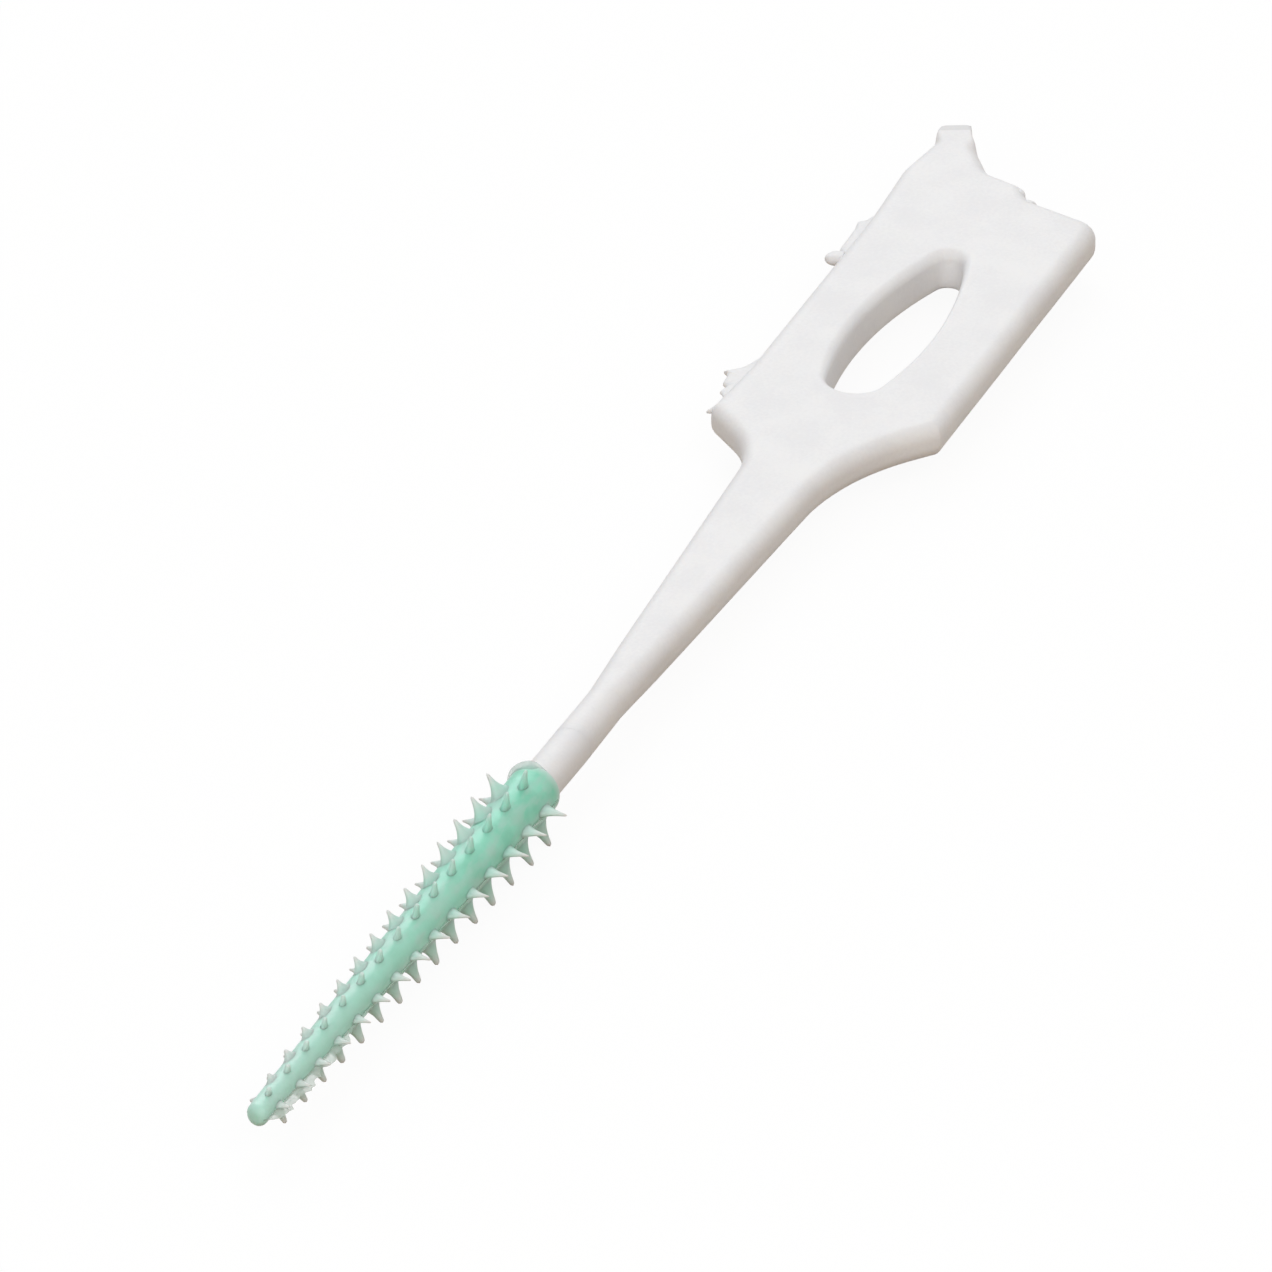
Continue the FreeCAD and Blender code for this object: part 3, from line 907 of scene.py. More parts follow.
    def hole_outline(self) -> np.ndarray:
        """Egg-shaped hole of four arcs: two ends and two flanks that touch them from inside.

        Each flank's centre lies where two circles about the end centres cross, with radii
        flank - blunt and flank - narrow. The flank's radius gives the hole its width and
        is found by halving.

        Returns:
            Points of the outline, running the same way as the plan's.
        """
        start, length, half_width = self.hole_span
        blunt = half_width * 2.0 * self.hole_blunt_share
        narrow = half_width * 2.0 * self.hole_narrow_share
        spread = length - blunt - narrow
        low = half_width
        high = spread * spread / half_width
        for _ in range(self.hole_halvings):
            flank = (low + high) / 2.0
            to_blunt = flank - blunt
            to_narrow = flank - narrow
            reach = (to_blunt ** 2 - to_narrow ** 2 + spread ** 2) / (2.0 * spread)
            drop = math.sqrt(max(to_blunt ** 2 - reach ** 2, 0.0))
            if flank - drop > half_width or drop == 0.0:
                low = flank
            else:
                high = flank
        at_blunt = math.atan2(drop, -reach)
        at_narrow = math.atan2(drop, spread - reach)
        centre = np.array([start + blunt, -self.hole_side])
        blunt_steps, narrow_steps = self.hole_end_steps
        flank_steps = self.hole_flank_steps
        arcs = [
            (0.0, 0.0, blunt, at_blunt, math.tau - at_blunt, blunt_steps),
            (reach, drop, flank, math.tau - at_blunt, math.tau - at_narrow, flank_steps),
            (spread, 0.0, narrow, -at_narrow, at_narrow, narrow_steps),
            (reach, -drop, flank, at_narrow, at_blunt, flank_steps),
        ]
        stretches = []
        for along, across, radius, first, last, steps in arcs:
            angles = np.linspace(first, last, steps + 1)[:-1]
            arc = radius * np.stack([np.cos(angles), np.sin(angles)], axis=1)
            stretches.append(centre + np.array([along, across]) + arc)
        return np.concatenate(stretches)

    def rim_at(self, plan: np.ndarray) -> np.ndarray:
        """Rim's rounding: fuller on the round neck, nearly none where the spur was cut.

        Args:
            plan: Points of the plan.

        Returns:
            Radius of the rim at each point.
        """
        neck = 1.0 - smoothstep(self.neck_fade_from, self.rim_fade_to, plan[:, 0])
        cut_start = self.reach - self.spur_skew - self.cut_face_run
        cut = smoothstep(cut_start - self.cut_face_run, cut_start, plan[:, 0])
        full = self.rim + (self.neck_rim - self.rim) * neck
        return full + (self.cut_rim - full) * cut

    def hole_place(self, plan: np.ndarray) -> tuple[np.ndarray, np.ndarray]:
        """Where points lie in the hole's length and width.

        Args:
            plan: Points of the plan.

        Returns:
            Share of the hole's length from its blunt end, and share of its half width to
            the left.
        """
        start, length, half_width = self.hole_span
        return (plan[:, 0] - start) / length, (plan[:, 1] + self.hole_side) / half_width

    def hole_rim_at(self, plan: np.ndarray) -> np.ndarray:
        """Rounding of the hole's upper rim: full on the left and towards the spur.

        Args:
            plan: Points of the plan.

        Returns:
            Radius of the hole's rim at each point.
        """
        along, across = self.hole_place(plan)
        share = smoothstep(-0.5, 0.5, (2.0 * along - 1.0 + across) * self.hole_rim_turn)
        return self.hole_near_rim + (self.hole_rim - self.hole_near_rim) * share

    def drafted(self, plan: np.ndarray, hole: np.ndarray) -> np.ndarray:
        """Points of the lower face, where the hole is a little shorter and narrower.

        The hole's lower outline is the upper one drawn in towards its blunt end and its
        middle line, and the shift fades out with the distance from the hole.

        Args:
            plan: Points of the plan.
            hole: Distance of each point from the hole.

        Returns:
            The shifted points.
        """
        along, across = self.hole_place(plan)
        fade = 1.0 - smoothstep(0.0, self.hole_draft_fade, hole)
        limit = self.hole_draft_limit
        shift = np.stack([
            -self.hole_draft_along * np.clip(along, 0.0, limit),
            -self.hole_draft_across * np.clip(across, -limit, limit),
        ], axis=1)
        return plan + shift * fade[:, None]

    def cut_slope(self, plan: np.ndarray) -> np.ndarray:
        """Share of the slanted face that a cutter left on the tip of the spur.

        It grows evenly from the crease to the tip, both askew as the tip is.

        Args:
            plan: Points of the plan.

        Returns:
            A share from 0 to 1 for each point.
        """
        skew = (plan[:, 1] - self.plate_left) * self.spur_skew / self.spur_tip_width
        skewed = plan[:, 0] + skew
        tip = self.reach - self.spur_skew
        return np.clip((skewed - tip + self.cut_face_run) / self.cut_face_run, 0.0, 1.0)

    def heights(self, plan: np.ndarray, outer: np.ndarray, hole: np.ndarray) -> tuple:
        """Upper and lower face over each point of the plan.

        Each face is the half thickness less the rim's quarter circle, whose depth follows
        from the distance to the outline and to the hole.

        Args:
            plan: Points of the plan.
            outer: Distance of each point from the outline.
            hole: Distance of each point from the hole.

        Returns:
            Heights of the upper and the lower face.
        """
        neck = 1.0 - smoothstep(self.neck_fade_from, self.height_fade_to, plan[:, 0])
        half = self.half_thickness + (self.neck_half - self.half_thickness) * neck
        rim = self.rim_at(plan)
        drop = rim_drop(outer, rim)
        upper = half - drop - rim_drop(hole, self.hole_rim_at(plan))
        upper = upper - self.cut_face_drop * self.cut_slope(plan)
        lower = -half + drop + rim_drop(hole, np.full(len(plan), self.hole_under_rim))
        return upper, lower

    def cut_lines(self) -> np.ndarray:
        """Points on two lines across the spur, on both sides of the crease of its cut.

        Returns:
            Points of the plan, which may reach past the outline.
        """
        first = self.plate_left - 2.0 * self.spur_tip_width
        across = np.arange(first, self.plate_left, self.cut_line_spacing)
        skew = (across - self.plate_left) * self.spur_skew / self.spur_tip_width
        crease = self.reach - self.spur_skew - self.cut_face_run - skew
        gap = self.cut_line_gap
        return np.concatenate([
            np.stack([crease + offset, across], axis=1) for offset in (-gap, gap)
        ])

    def plan_points(self, outline: np.ndarray, hole: np.ndarray) -> np.ndarray:
        """Rings inside the rims and an even lattice between them.

        Args:
            outline: Outline of the plate.
            hole: Outline of the hole.

        Returns:
            Points of the plan, without those of the two outlines.
        """
        rings = []
        turn = np.linspace(0.0, math.pi / 2.0, self.rim_steps + 1)[1:]
        for loop, rounding in (
            (outline, self.neck_rim),
            (hole, self.hole_rim),
            (hole, self.hole_under_rim),
        ):
            for offset in rounding * (1.0 - np.cos(turn)):
                ring = left_ring(loop, offset)
                gap = distance_to_line(ring, loop, True)
                rings.append(ring[gap > offset * self.ring_gap_share])
        low = outline.min(axis=0)
        high = outline.max(axis=0)
        along, across = np.meshgrid(
            np.arange(low[0], high[0], self.inner_spacing),
            np.arange(low[1], high[1], self.inner_spacing),
        )
        lattice = np.stack([along.ravel(), across.ravel()], axis=1)
        to_outline = distance_to_line(lattice, outline, True)
        to_hole = distance_to_line(lattice, hole, True)
        free = to_outline > self.neck_rim * self.lattice_outline_share
        free &= to_hole > self.hole_rim * self.lattice_hole_share
        every = np.concatenate(rings + [self.cut_lines(), lattice[free]])
        keep = inside_outline(every, outline) & ~inside_outline(every, hole)
        keep &= distance_to_line(every, outline, True) > self.outline_clearance
        keep &= distance_to_line(every, hole, True) > self.hole_clearance
        return every[keep]

    def build(self) -> bpy.types.Object:
        """The moulding from the spur to the middle of the neck.

        The plan is parted into triangles between the outline and the hole. Its points are
        lifted to the upper and the lower face, and quads close the walls between them.

        Returns:
            The new object.
        """
        outline = rounded_outline(self.corners(), self.spacing)
        hole = self.hole_outline()[::-1]
        inner = self.plan_points(outline, hole)
        given = np.concatenate([outline, hole, inner])
        loops = [(0, len(outline)), (len(outline), len(hole))]
        edges = [
            (first + step, first + (step + 1) % count)
            for first, count in loops
            for step in range(count)
        ]
        result = delaunay_2d_cdt((given / MM).tolist(), edges, [], 0, PLAN_TOLERANCE, True)
        plan = np.array([tuple(vertex) for vertex in result[0]]) * MM
        triangles = np.array([tuple(face) for face in result[2]])
        number_of = {source: made for made, sources in enumerate(result[3]) for source in sources}
        middles = plan[triangles].mean(axis=1)
        kept = inside_outline(middles, outline) & ~inside_outline(middles, hole)
        triangles = triangles[kept]
        # The neck's cut is the last side of the outline, and the rim doesn't turn round it.
        at_cut = np.abs(outline[:, 0] - outline[:, 0].min()) < self.cut_tolerance
        on_cut = at_cut & (np.abs(outline[:, 1]) < self.neck_half - self.cut_tolerance)
        outer = distance_to_line(plan, outline[~on_cut], False)
        to_hole = distance_to_line(plan, hole, True)
        upper, lower = self.heights(plan, outer, to_hole)
        under = self.drafted(plan, to_hole)
        count = len(plan)
        points = [np.column_stack([plan, upper]), np.column_stack([under, lower])]
        faces = [triangles, triangles[:, ::-1] + count]
        offset = 2 * count
        for first, length in loops:
            ring = np.array([number_of[first + step] for step in range(length)])
            wall_rows = [ring]
            for step in range(1, self.wall_steps):
                share = step / self.wall_steps
                height = upper[ring] + (lower[ring] - upper[ring]) * share
                level = plan[ring] + (under[ring] - plan[ring]) * share
                points.append(np.column_stack([level, height]))
                wall_rows.append(offset + np.arange(length))
                offset += length
            wall_rows.append(ring + count)
            for above, below in zip(wall_rows[:-1], wall_rows[1:]):
                following = np.roll(above, -1), np.roll(below, -1)
                faces.append(np.stack([above, below, following[1], following[0]], axis=1))
        local = np.concatenate(points)
        local[:, 2] += self.wave * ripple(local, self.wave_length, Seed.MOULDING)
        placed = self.datum.put_neck(local)
        # Points on the sloped cut face take the painted shade grey.
        cut = self.cut_slope(local) > self.cut_shade_threshold
        sharp = self.sharp_degrees
        return make_piece(Slot.WHITE, "white_moulding", placed, faces, sharp, None, cut=cut)


@dataclass
class NeckTip:
    """Second half of the flexible neck, from its middle into the sleeve's mouth."""

    datum: Datum
    half_width: float = 0.635 * MM
    rounding: float = 0.6 * MM
    sink: float = 0.3 * MM
    corner_steepness: float = 50.0
    columns: int = 48
    rows: int = 24
    sharp_degrees: float = 60.0

    def build(self) -> bpy.types.Object:
        """Tube of the moulding's own section: a square with corners of the rounding.

        Returns:
            The new object.
        """
        length = self.datum.neck_length
        along = np.linspace(-length / 2.0, -length - self.sink, self.rows)
        angle = np.linspace(0.0, math.tau, self.columns, endpoint=False)
        flat = self.half_width - self.rounding
        across, up = [
            np.clip(wave * self.corner_steepness, -1.0, 1.0) * flat + wave * self.rounding
            for wave in (np.cos(angle), np.sin(angle))
        ]
        section = np.broadcast_arrays(along[:, None], across, up)
        points = np.stack(section, axis=-1).reshape(-1, 3)
        ends = np.array([[along[0], 0.0, 0.0], [along[-1], 0.0, 0.0]])
        body = grid_faces(self.rows, self.columns)
        first = np.arange(self.columns)
        last = first + (self.rows - 1) * self.columns
        hub = self.rows * self.columns
        caps = [
            np.stack([np.roll(first, -1), first, np.full(self.columns, hub)], axis=1),
            np.stack([last, np.roll(last, -1), np.full(self.columns, hub + 1)], axis=1),
        ]
        placed = self.datum.put_neck(np.concatenate([points, ends]))
        faces = [body, *caps]
        return make_piece(Slot.WHITE, "neck_tip", placed, faces, self.sharp_degrees, cut=0.0)


@dataclass(frozen=True)
class Scrap:
    """Thin torn scrap on the plate's edge, with its outline in millimetres of the plan."""

    height: float
    thickness: float
    middle: tuple[float, float]
    outline: tuple[tuple[float, float], ...]


@dataclass
class TornFlash:
    """Torn moulding flash on the plate's edge: flat scraps and a blunt nub."""

    datum: Datum
    scraps: tuple[Scrap, ...] = (
        Scrap(0.3, 0.3, (19.3, 3.2), (
            (20.9, 3.3), (20.45, 3.5), (20.05, 3.63), (19.62, 4.04), (19.5, 3.93), (19.32, 3.84),
            (19.1, 3.84), (18.93, 3.82), (18.84, 3.7), (18.74, 3.62), (18.6, 3.62), (18.37, 3.69),
            (18.2, 3.55), (17.8, 3.2), (18.6, 2.9), (20.2, 2.9),
        )),
        Scrap(0.3, 0.22, (17.5, 3.3), (
            (17.75, 3.45), (17.45, 3.58), (17.17, 3.66), (17.2, 3.56), (17.26, 3.45), (17.3, 3.1),
        )),
        Scrap(0.28, 0.34, (29.2, 3.2), (
            (30.6, 3.3), (30.3, 3.5), (30.12, 3.69), (29.95, 3.7), (29.65, 3.64), (29.34, 3.59),
            (28.9, 3.58), (28.6, 3.6), (28.29, 3.6), (28.1, 3.5), (27.9, 3.2), (28.6, 2.9),
            (30.0, 2.9),
        )),
        Scrap(0.24, 0.42, (27.75, 3.35), (
            (28.0, 3.3), (28.0, 3.6), (27.93, 3.78), (27.74, 3.86), (27.52, 3.83), (27.4, 3.7),
            (27.42, 3.5), (27.5, 3.2),
        )),
        Scrap(0.34, 0.4, (33.4, -0.35), (
            (33.95, -0.05), (33.85, -0.3), (33.72, -0.55), (33.5, -0.68), (33.3, -0.62),
            (33.1, -0.3), (33.4, 0.0),
        )),
        Scrap(0.36, 0.36, (32.95, -0.95), (
            (33.25, -0.8), (33.28, -0.98), (33.22, -1.14), (33.05, -1.22), (32.8, -1.1),
            (32.9, -0.8),
        )),
    )
    rings: int = 9
    side_points: int = 6
    ruffle: float = 0.04
    ruffle_waves: tuple[float, float] = (4.0, 3.0)
    merge_gap: float = 0.0005 * MM
    # Share of the cut face's painted shade grey that the scraps take.
    cut_shade_share: float = 0.1
    sharp_degrees: float = 70.0

    def smooth_outline(self, outline: np.ndarray) -> np.ndarray:
        """Outline with its corners drawn soft by a Catmull-Rom curve.

        Between points b and c, with a before and d after, the place at share t is half of
        2 b + (c - a) t + (2 a - 5 b + 4 c - d) t^2 + (3 b - a - 3 c + d) t^3.

        Args:
            outline: Corners of the closed outline.

        Returns:
            Points of the curve.
        """
        share = np.linspace(0.0, 1.0, self.side_points, endpoint=False)[None, :, None]
        before, here, after, beyond = [
            np.roll(outline, step, axis=0)[:, None, :] for step in (1, 0, -1, -2)
        ]
        curve = 2.0 * here + (after - before) * share
        curve = curve + (2.0 * before - 5.0 * here + 4.0 * after - beyond) * share ** 2
        curve = curve + (3.0 * here - before - 3.0 * after + beyond) * share ** 3
        return (curve / 2.0).reshape(-1, 2)

    def scrap_points(self, scrap: Scrap) -> np.ndarray:
        """Points of one scrap: its outline shrunk ring by ring to its middle and back.

        At the share s from the middle the scrap is thick times sqrt(1 - s^3), so that it
        thins out to its torn edge, and its middle height waves a little outwards.

        Args:
            scrap: The scrap.

        Returns:
            Grid points, the upper rings from the middle outwards and then the lower ones.
        """
        loop = self.smooth_outline(np.array(scrap.outline))
        middle = np.array(scrap.middle)
        turn = np.linspace(0.0, math.pi, 2 * self.rings + 1)
        share = np.sin(turn)
        level = np.sign(np.cos(turn)) * np.sqrt(np.maximum(1.0 - share ** 3, 0.0))
        places = middle + (loop - middle)[None, :, :] * share[:, None, None]
        lift = scrap.height + scrap.thickness / 2.0 * level[:, None]
        phase = self.ruffle_waves[0] * places[..., 0] + self.ruffle_waves[1] * places[..., 1]
        lift = lift + self.ruffle * np.sin(phase) * share[:, None]
        return np.concatenate([places, lift[..., None]], axis=-1).reshape(-1, 3) * MM

    def build(self) -> bpy.types.Object:
        """All scraps as one mesh that sits in the plate's edge.

        Returns:
            The new object.
        """
        points = []
        faces = []
        offset = 0
        for scrap in self.scraps:
            grid = self.scrap_points(scrap)
            rows = 2 * self.rings + 1
            faces.append(grid_faces(rows, len(grid) // rows) + offset)
            points.append(grid)
            offset += len(grid)
        placed = self.datum.put(np.concatenate(points))
        return make_piece(
            Slot.WHITE, "torn_flash", placed, faces, self.sharp_degrees, self.merge_gap,
            cut=self.cut_shade_share,
        )


@dataclass(frozen=True)
class ThornRow:
    """One row of thorns: degrees round the core from the right upwards, and its heights."""

    name: str
    angle: float
    lag_share: float
    mouth_height: float
    nose_height: float
    flatness: float = 0.5
    tip_half: float = 0.05 * MM
    foot_share: float = 1.0
    flare: float = 1.8
    foot_thin: float = 0.0
    thin_power: float = 1.2
    thin_most: float = 1.0


@dataclass(frozen=True)
class Flash:
    """Thin flash where the mould parted, on the right side (1) or the left (-1)."""

    name: str
    side: float
    start: float
    narrow: float
    wide: float
    fade: float


@dataclass
class MintSleeve:
    """Elastomer sleeve with thorns. Stations are counted from the nose to the mouth."""

    datum: Datum
    length: float = 20.3 * MM
    mouth_half: float = 0.83 * MM
    nose_half: float = 0.35 * MM
    nose_round: float = 0.26 * MM
    nose_slant: float = 0.16
    nose_slant_rise: float = 0.5
    nose_fade: float = 0.8 * MM
    nose_turns: int = 12
    face_share: float = 0.9
    face_rings: int = 5
    lip: float = 0.2 * MM
    lip_run: float = 2.2
    lip_sink: float = 0.95
    lip_reach: float = 0.98
    lip_turns: int = 22
    lip_thin: float = 0.6
    lip_thin_from: float = 0.42 * MM
    lip_thin_to: float = 0.1 * MM
    pale_span: tuple[float, float] = (-0.15, 0.95)
    skin_wave: float = 0.012 * MM
    skin_wave_length: float = 2.2 * MM
    skin_rows: int = 240
    skin_columns: int = 72
    pitch_share: float = 0.0638
    first_share: float = 0.0616
    last_share: float = 0.0394
    foot_half: float = 0.58 * MM
    foot_sink: float = 0.012 * MM
    nose_share: float = 0.6
    lift_power: float = 1.35
    point_power: int = 14
    height_spread: tuple[float, float] = (0.95, 1.02)
    tip_spread: tuple[float, float] = (0.8, 1.15)
    lean_share: float = 0.06
    thorn_rings: int = 20
    thorn_columns: int = 24
    rows: tuple[ThornRow, ...] = (
        ThornRow(
            "right", 3.0, -0.21, 0.80 * MM, 0.34 * MM,
            flatness=0.45, tip_half=0.04 * MM, foot_share=0.66, flare=1.5,
            foot_thin=0.1, thin_power=0.8,
        ),
        ThornRow(
            "top", 82.0, -0.25, 0.63 * MM, 0.20 * MM,
            flatness=0.6, tip_half=0.07 * MM, foot_share=0.46, flare=1.15,
            thin_power=1.0, thin_most=0.45,
        ),
        ThornRow(
            "upper_left", 124.0, 0.36, 0.79 * MM, 0.17 * MM,
            tip_half=0.055 * MM, foot_thin=0.12, thin_power=0.9,
        ),
        ThornRow("left", 182.0, -0.25, 0.60 * MM, 0.16 * MM, foot_thin=0.5),
        ThornRow(
            "lower_left", 240.0, 0.36, 0.73 * MM, 0.40 * MM, tip_half=0.08 * MM, thin_power=2.0,
        ),
        ThornRow(
            "lower_right", 302.0, 0.0, 0.86 * MM, 0.50 * MM,
            tip_half=0.1 * MM, foot_thin=0.2, thin_power=1.4,
        ),
    )
    flashes: tuple[Flash, ...] = (
        Flash("parting_flash_right", 1.0, 0.08 * MM, 0.05 * MM, 0.34 * MM, 8.0 * MM),
        Flash("parting_flash_left", -1.0, 0.3 * MM, 0.012 * MM, 0.12 * MM, 1.2 * MM),
    )
    flash_section: tuple[tuple[float, float], ...] = (
        (-0.06, 0.5), (0.45, 0.42), (1.0, 0.0), (0.45, -0.42), (-0.06, -0.5),
    )
    flash_thickness: float = 0.04 * MM
    flash_least: float = 0.004 * MM
    flash_end: float = 0.3 * MM
    flash_lead: float = 0.08 * MM
    flash_opening: float = 0.5 * MM
    flash_tilt: float = -4.0
    flash_fade_share: float = 0.3
    flash_least_wave: float = 0.1
    flash_thin: float = 0.4
    flash_wave: float = 0.42
    flash_wave_length: float = 1.1 * MM
    flash_tear: float = 0.2
    flash_tear_length: float = 0.35 * MM
    flash_rows: int = 420
    film_from: float = 62.0
    film_to: float = 205.0
    film_fade: float = 35.0
    film_flare: float = 0.16 * MM
    film_run: float = 0.6 * MM
    film_back: float = 0.06 * MM
    film_sink: float = 0.03 * MM
    film_thickness: float = 0.07 * MM
    film_thinning: float = 0.6
    film_thin: float = 0.2
    film_wave: float = 0.14
    film_wave_length: float = 0.9 * MM
    film_wave_step: float = 0.02 * MM
    film_rows: int = 60
    film_columns: int = 12
    sharp_degrees: float = 80.0

    def make(
        self, name: str, points: np.ndarray, faces: list[np.ndarray], **attributes: np.ndarray
    ) -> bpy.types.Object:
        """Mint piece, with its points turned and moved to the brush's place.

        Args:
            name: Name of the piece.
            points: Places with the core straight along X.
            faces: Arrays of faces.
            attributes: For each name, one number for each point.

        Returns:
            The new object.
        """
        placed = self.datum.put_brush(points)
        return make_piece(Slot.MINT, name, placed, faces, self.sharp_degrees, **attributes)

    def radius(self, station: np.ndarray | float) -> np.ndarray | float:
        """Radius of the skin without its ends: a straight taper from mouth to nose."""
        return self.nose_half + (self.mouth_half - self.nose_half) * station / self.length

    def rounded_radius(self, station: np.ndarray) -> np.ndarray:
        """Radius of the skin with the quarter circle that rounds its nose."""
        return self.radius(station) - rim_drop(station, np.full(len(station), self.nose_round))

    def paling(self, station: np.ndarray) -> np.ndarray:
        """Share by which the rubber is paler towards the nose, where it is thinner."""
        first, last = self.pale_span
        return 1.0 - smoothstep(first * self.length, last * self.length, station)

    def along(self, station: np.ndarray | float) -> np.ndarray | float:
        """Place on the core axis of a station."""
        return -self.datum.neck_length - self.length + station

    def skin_profile(self) -> tuple[np.ndarray, np.ndarray]:
        """Half profile of the skin from the middle of the nose to the bore at the mouth.

        The nose is blunt with a quarter circle round its edge, the body a straight taper
        and the lip a small round bulge that rolls over to the neck.

        Returns:
            Stations and radii.
        """
        turn = np.linspace(0.0, math.pi / 2.0, self.nose_turns)
        flat = self.radius(self.nose_round) - self.nose_round
        face = flat * np.linspace(0.0, self.face_share, self.face_rings)
        nose_station = self.nose_round * (1.0 - np.cos(turn))
        nose_radius = flat + self.nose_round * np.sin(turn)
        body_end = self.length - self.lip_run * self.lip
        body = np.linspace(self.nose_round, body_end, self.skin_rows)[1:]
        roll = np.linspace(0.0, math.pi, self.lip_turns)
        lip_middle = self.radius(self.length) - self.lip * self.lip_sink
        lip_station = self.length - self.lip + self.lip * np.sin(roll) * self.lip_reach
        lip_radius = lip_middle + self.lip * np.cos(roll)
        station = np.concatenate([np.zeros(self.face_rings), nose_station, body, lip_station])
        return station, np.concatenate([face, nose_radius, self.radius(body), lip_radius])

    def build_skin(self) -> bpy.types.Object:
        """Skin turned about the core, slightly uneven and closed inside the neck.

        Each point moves outwards by a slow ripple, and the nose is slanted by a shift
        along the core that grows with the point's height and its place to the left.

        Returns:
            The new object.
        """
        station, radius = self.skin_profile()
        angle = np.linspace(0.0, math.tau, self.skin_columns, endpoint=False)
        points = around_core(self.along(station)[:, None], radius[:, None], angle)
        stations = np.repeat(station, self.skin_columns)
        outwards = points * np.array([0.0, 1.0, 1.0])
        outwards /= np.maximum(np.linalg.norm(outwards, axis=1, keepdims=True), TINY)
        past_nose = smoothstep(0.0, self.nose_fade, stations)
        wave = self.skin_wave * ripple(points, self.skin_wave_length, Seed.SKIN) * past_nose
        points += outwards * wave[:, None]
        reach = self.nose_half + points[:, 2] * self.nose_slant_rise + points[:, 1]
        points[:, 0] += self.nose_slant * (1.0 - past_nose) * reach
        lip_start = self.length - self.lip_thin_from
        lip = smoothstep(lip_start, self.length - self.lip_thin_to, stations)
        size = (len(station), self.skin_columns)
        return self.make(
            "sleeve_skin", points, [grid_faces(*size), end_caps(*size)[1:]],
            thin=lip * self.lip_thin, pale=self.paling(stations),
        )

    def thorn(self, row: ThornRow, station: float, dice: np.random.Generator) -> tuple:
        """Points of one thorn, with the share by which each is thin.

        At share u from foot to tip the half width along the core is
        tip + (foot - tip) (1 - u)^flare, and the place between the round skin and the tip
        rises with u^lift, so that the thorn leaves the skin in a soft hollow.

        Args:
            row: The row that the thorn stands in.
            station: Place along the sleeve.
            dice: Seeded numbers for the small differences from thorn to thorn.

        Returns:
            Grid points and the thin share of each.
        """
        share = station / self.length
        foot = row.foot_share * self.foot_half
        foot = foot * (self.nose_share + (1.0 - self.nose_share) * share)
        height = row.nose_height + (row.mouth_height - row.nose_height) * share
        height *= dice.uniform(*self.height_spread)
        radius = self.radius(station)
        rise = np.linspace(0.0, 1.0, self.thorn_rings)[:, None]
        angle = np.linspace(0.0, math.tau, self.thorn_columns, endpoint=False)[None, :]
        fall = (1.0 - rise) ** row.flare
        closing = np.sqrt(np.maximum(1.0 - rise ** self.point_power, 0.0))
        tip = row.tip_half * dice.uniform(*self.tip_spread)
        long_half = (tip + (foot - tip) * fall) * closing
        flat_half = (tip + (foot * row.flatness - tip) * fall) * closing
        lift = rise ** self.lift_power
        lean = dice.uniform(-self.lean_share, self.lean_share, size=2) * height
        across = flat_half * np.sin(angle) + lean[0] * lift ** 2
        along = long_half * np.cos(angle) + lean[1] * lift ** 2
        on_skin = np.sqrt(np.maximum(radius ** 2 - across ** 2, 0.0)) - self.foot_sink
        up = on_skin * (1.0 - lift) + (radius + height) * lift
        turn = math.radians(row.angle)
        right = np.array([0.0, -math.cos(turn), math.sin(turn)])
        side = np.array([0.0, math.sin(turn), math.cos(turn)])
        points = up[..., None] * right + across[..., None] * side
        points[..., 0] += self.along(station) + along
        grey = row.foot_thin + (row.thin_most - row.foot_thin) * lift ** row.thin_power
        return points.reshape(-1, 3), np.broadcast_to(grey, up.shape).ravel()

    def build_row(self, row: ThornRow, seed: int) -> bpy.types.Object:
        """One row of thorns as one mesh, each thorn closed at its foot and its tip.

        Args:
            row: The row.
            seed: Number that fixes the small differences from thorn to thorn.

        Returns:
            The new object.
        """
        dice = np.random.default_rng(seed)
        pitch = self.length * self.pitch_share
        first = self.length * self.first_share + row.lag_share * pitch
        stations = np.arange(first, self.length * (1.0 - self.last_share), pitch)
        thorns, thin = zip(*[self.thorn(row, float(station), dice) for station in stations])
        size = (self.thorn_rings, self.thorn_columns)
        offsets = (np.arange(len(stations)) * math.prod(size))[:, None, None]
        quads = grid_faces(*size) + offsets
        feet = end_caps(*size)[:1] + offsets
        return self.make(
            "thorns_" + row.name, np.concatenate(thorns), [*quads, *feet],
            thin=np.concatenate(thin), pale=np.repeat(self.paling(stations), math.prod(size)),
        )

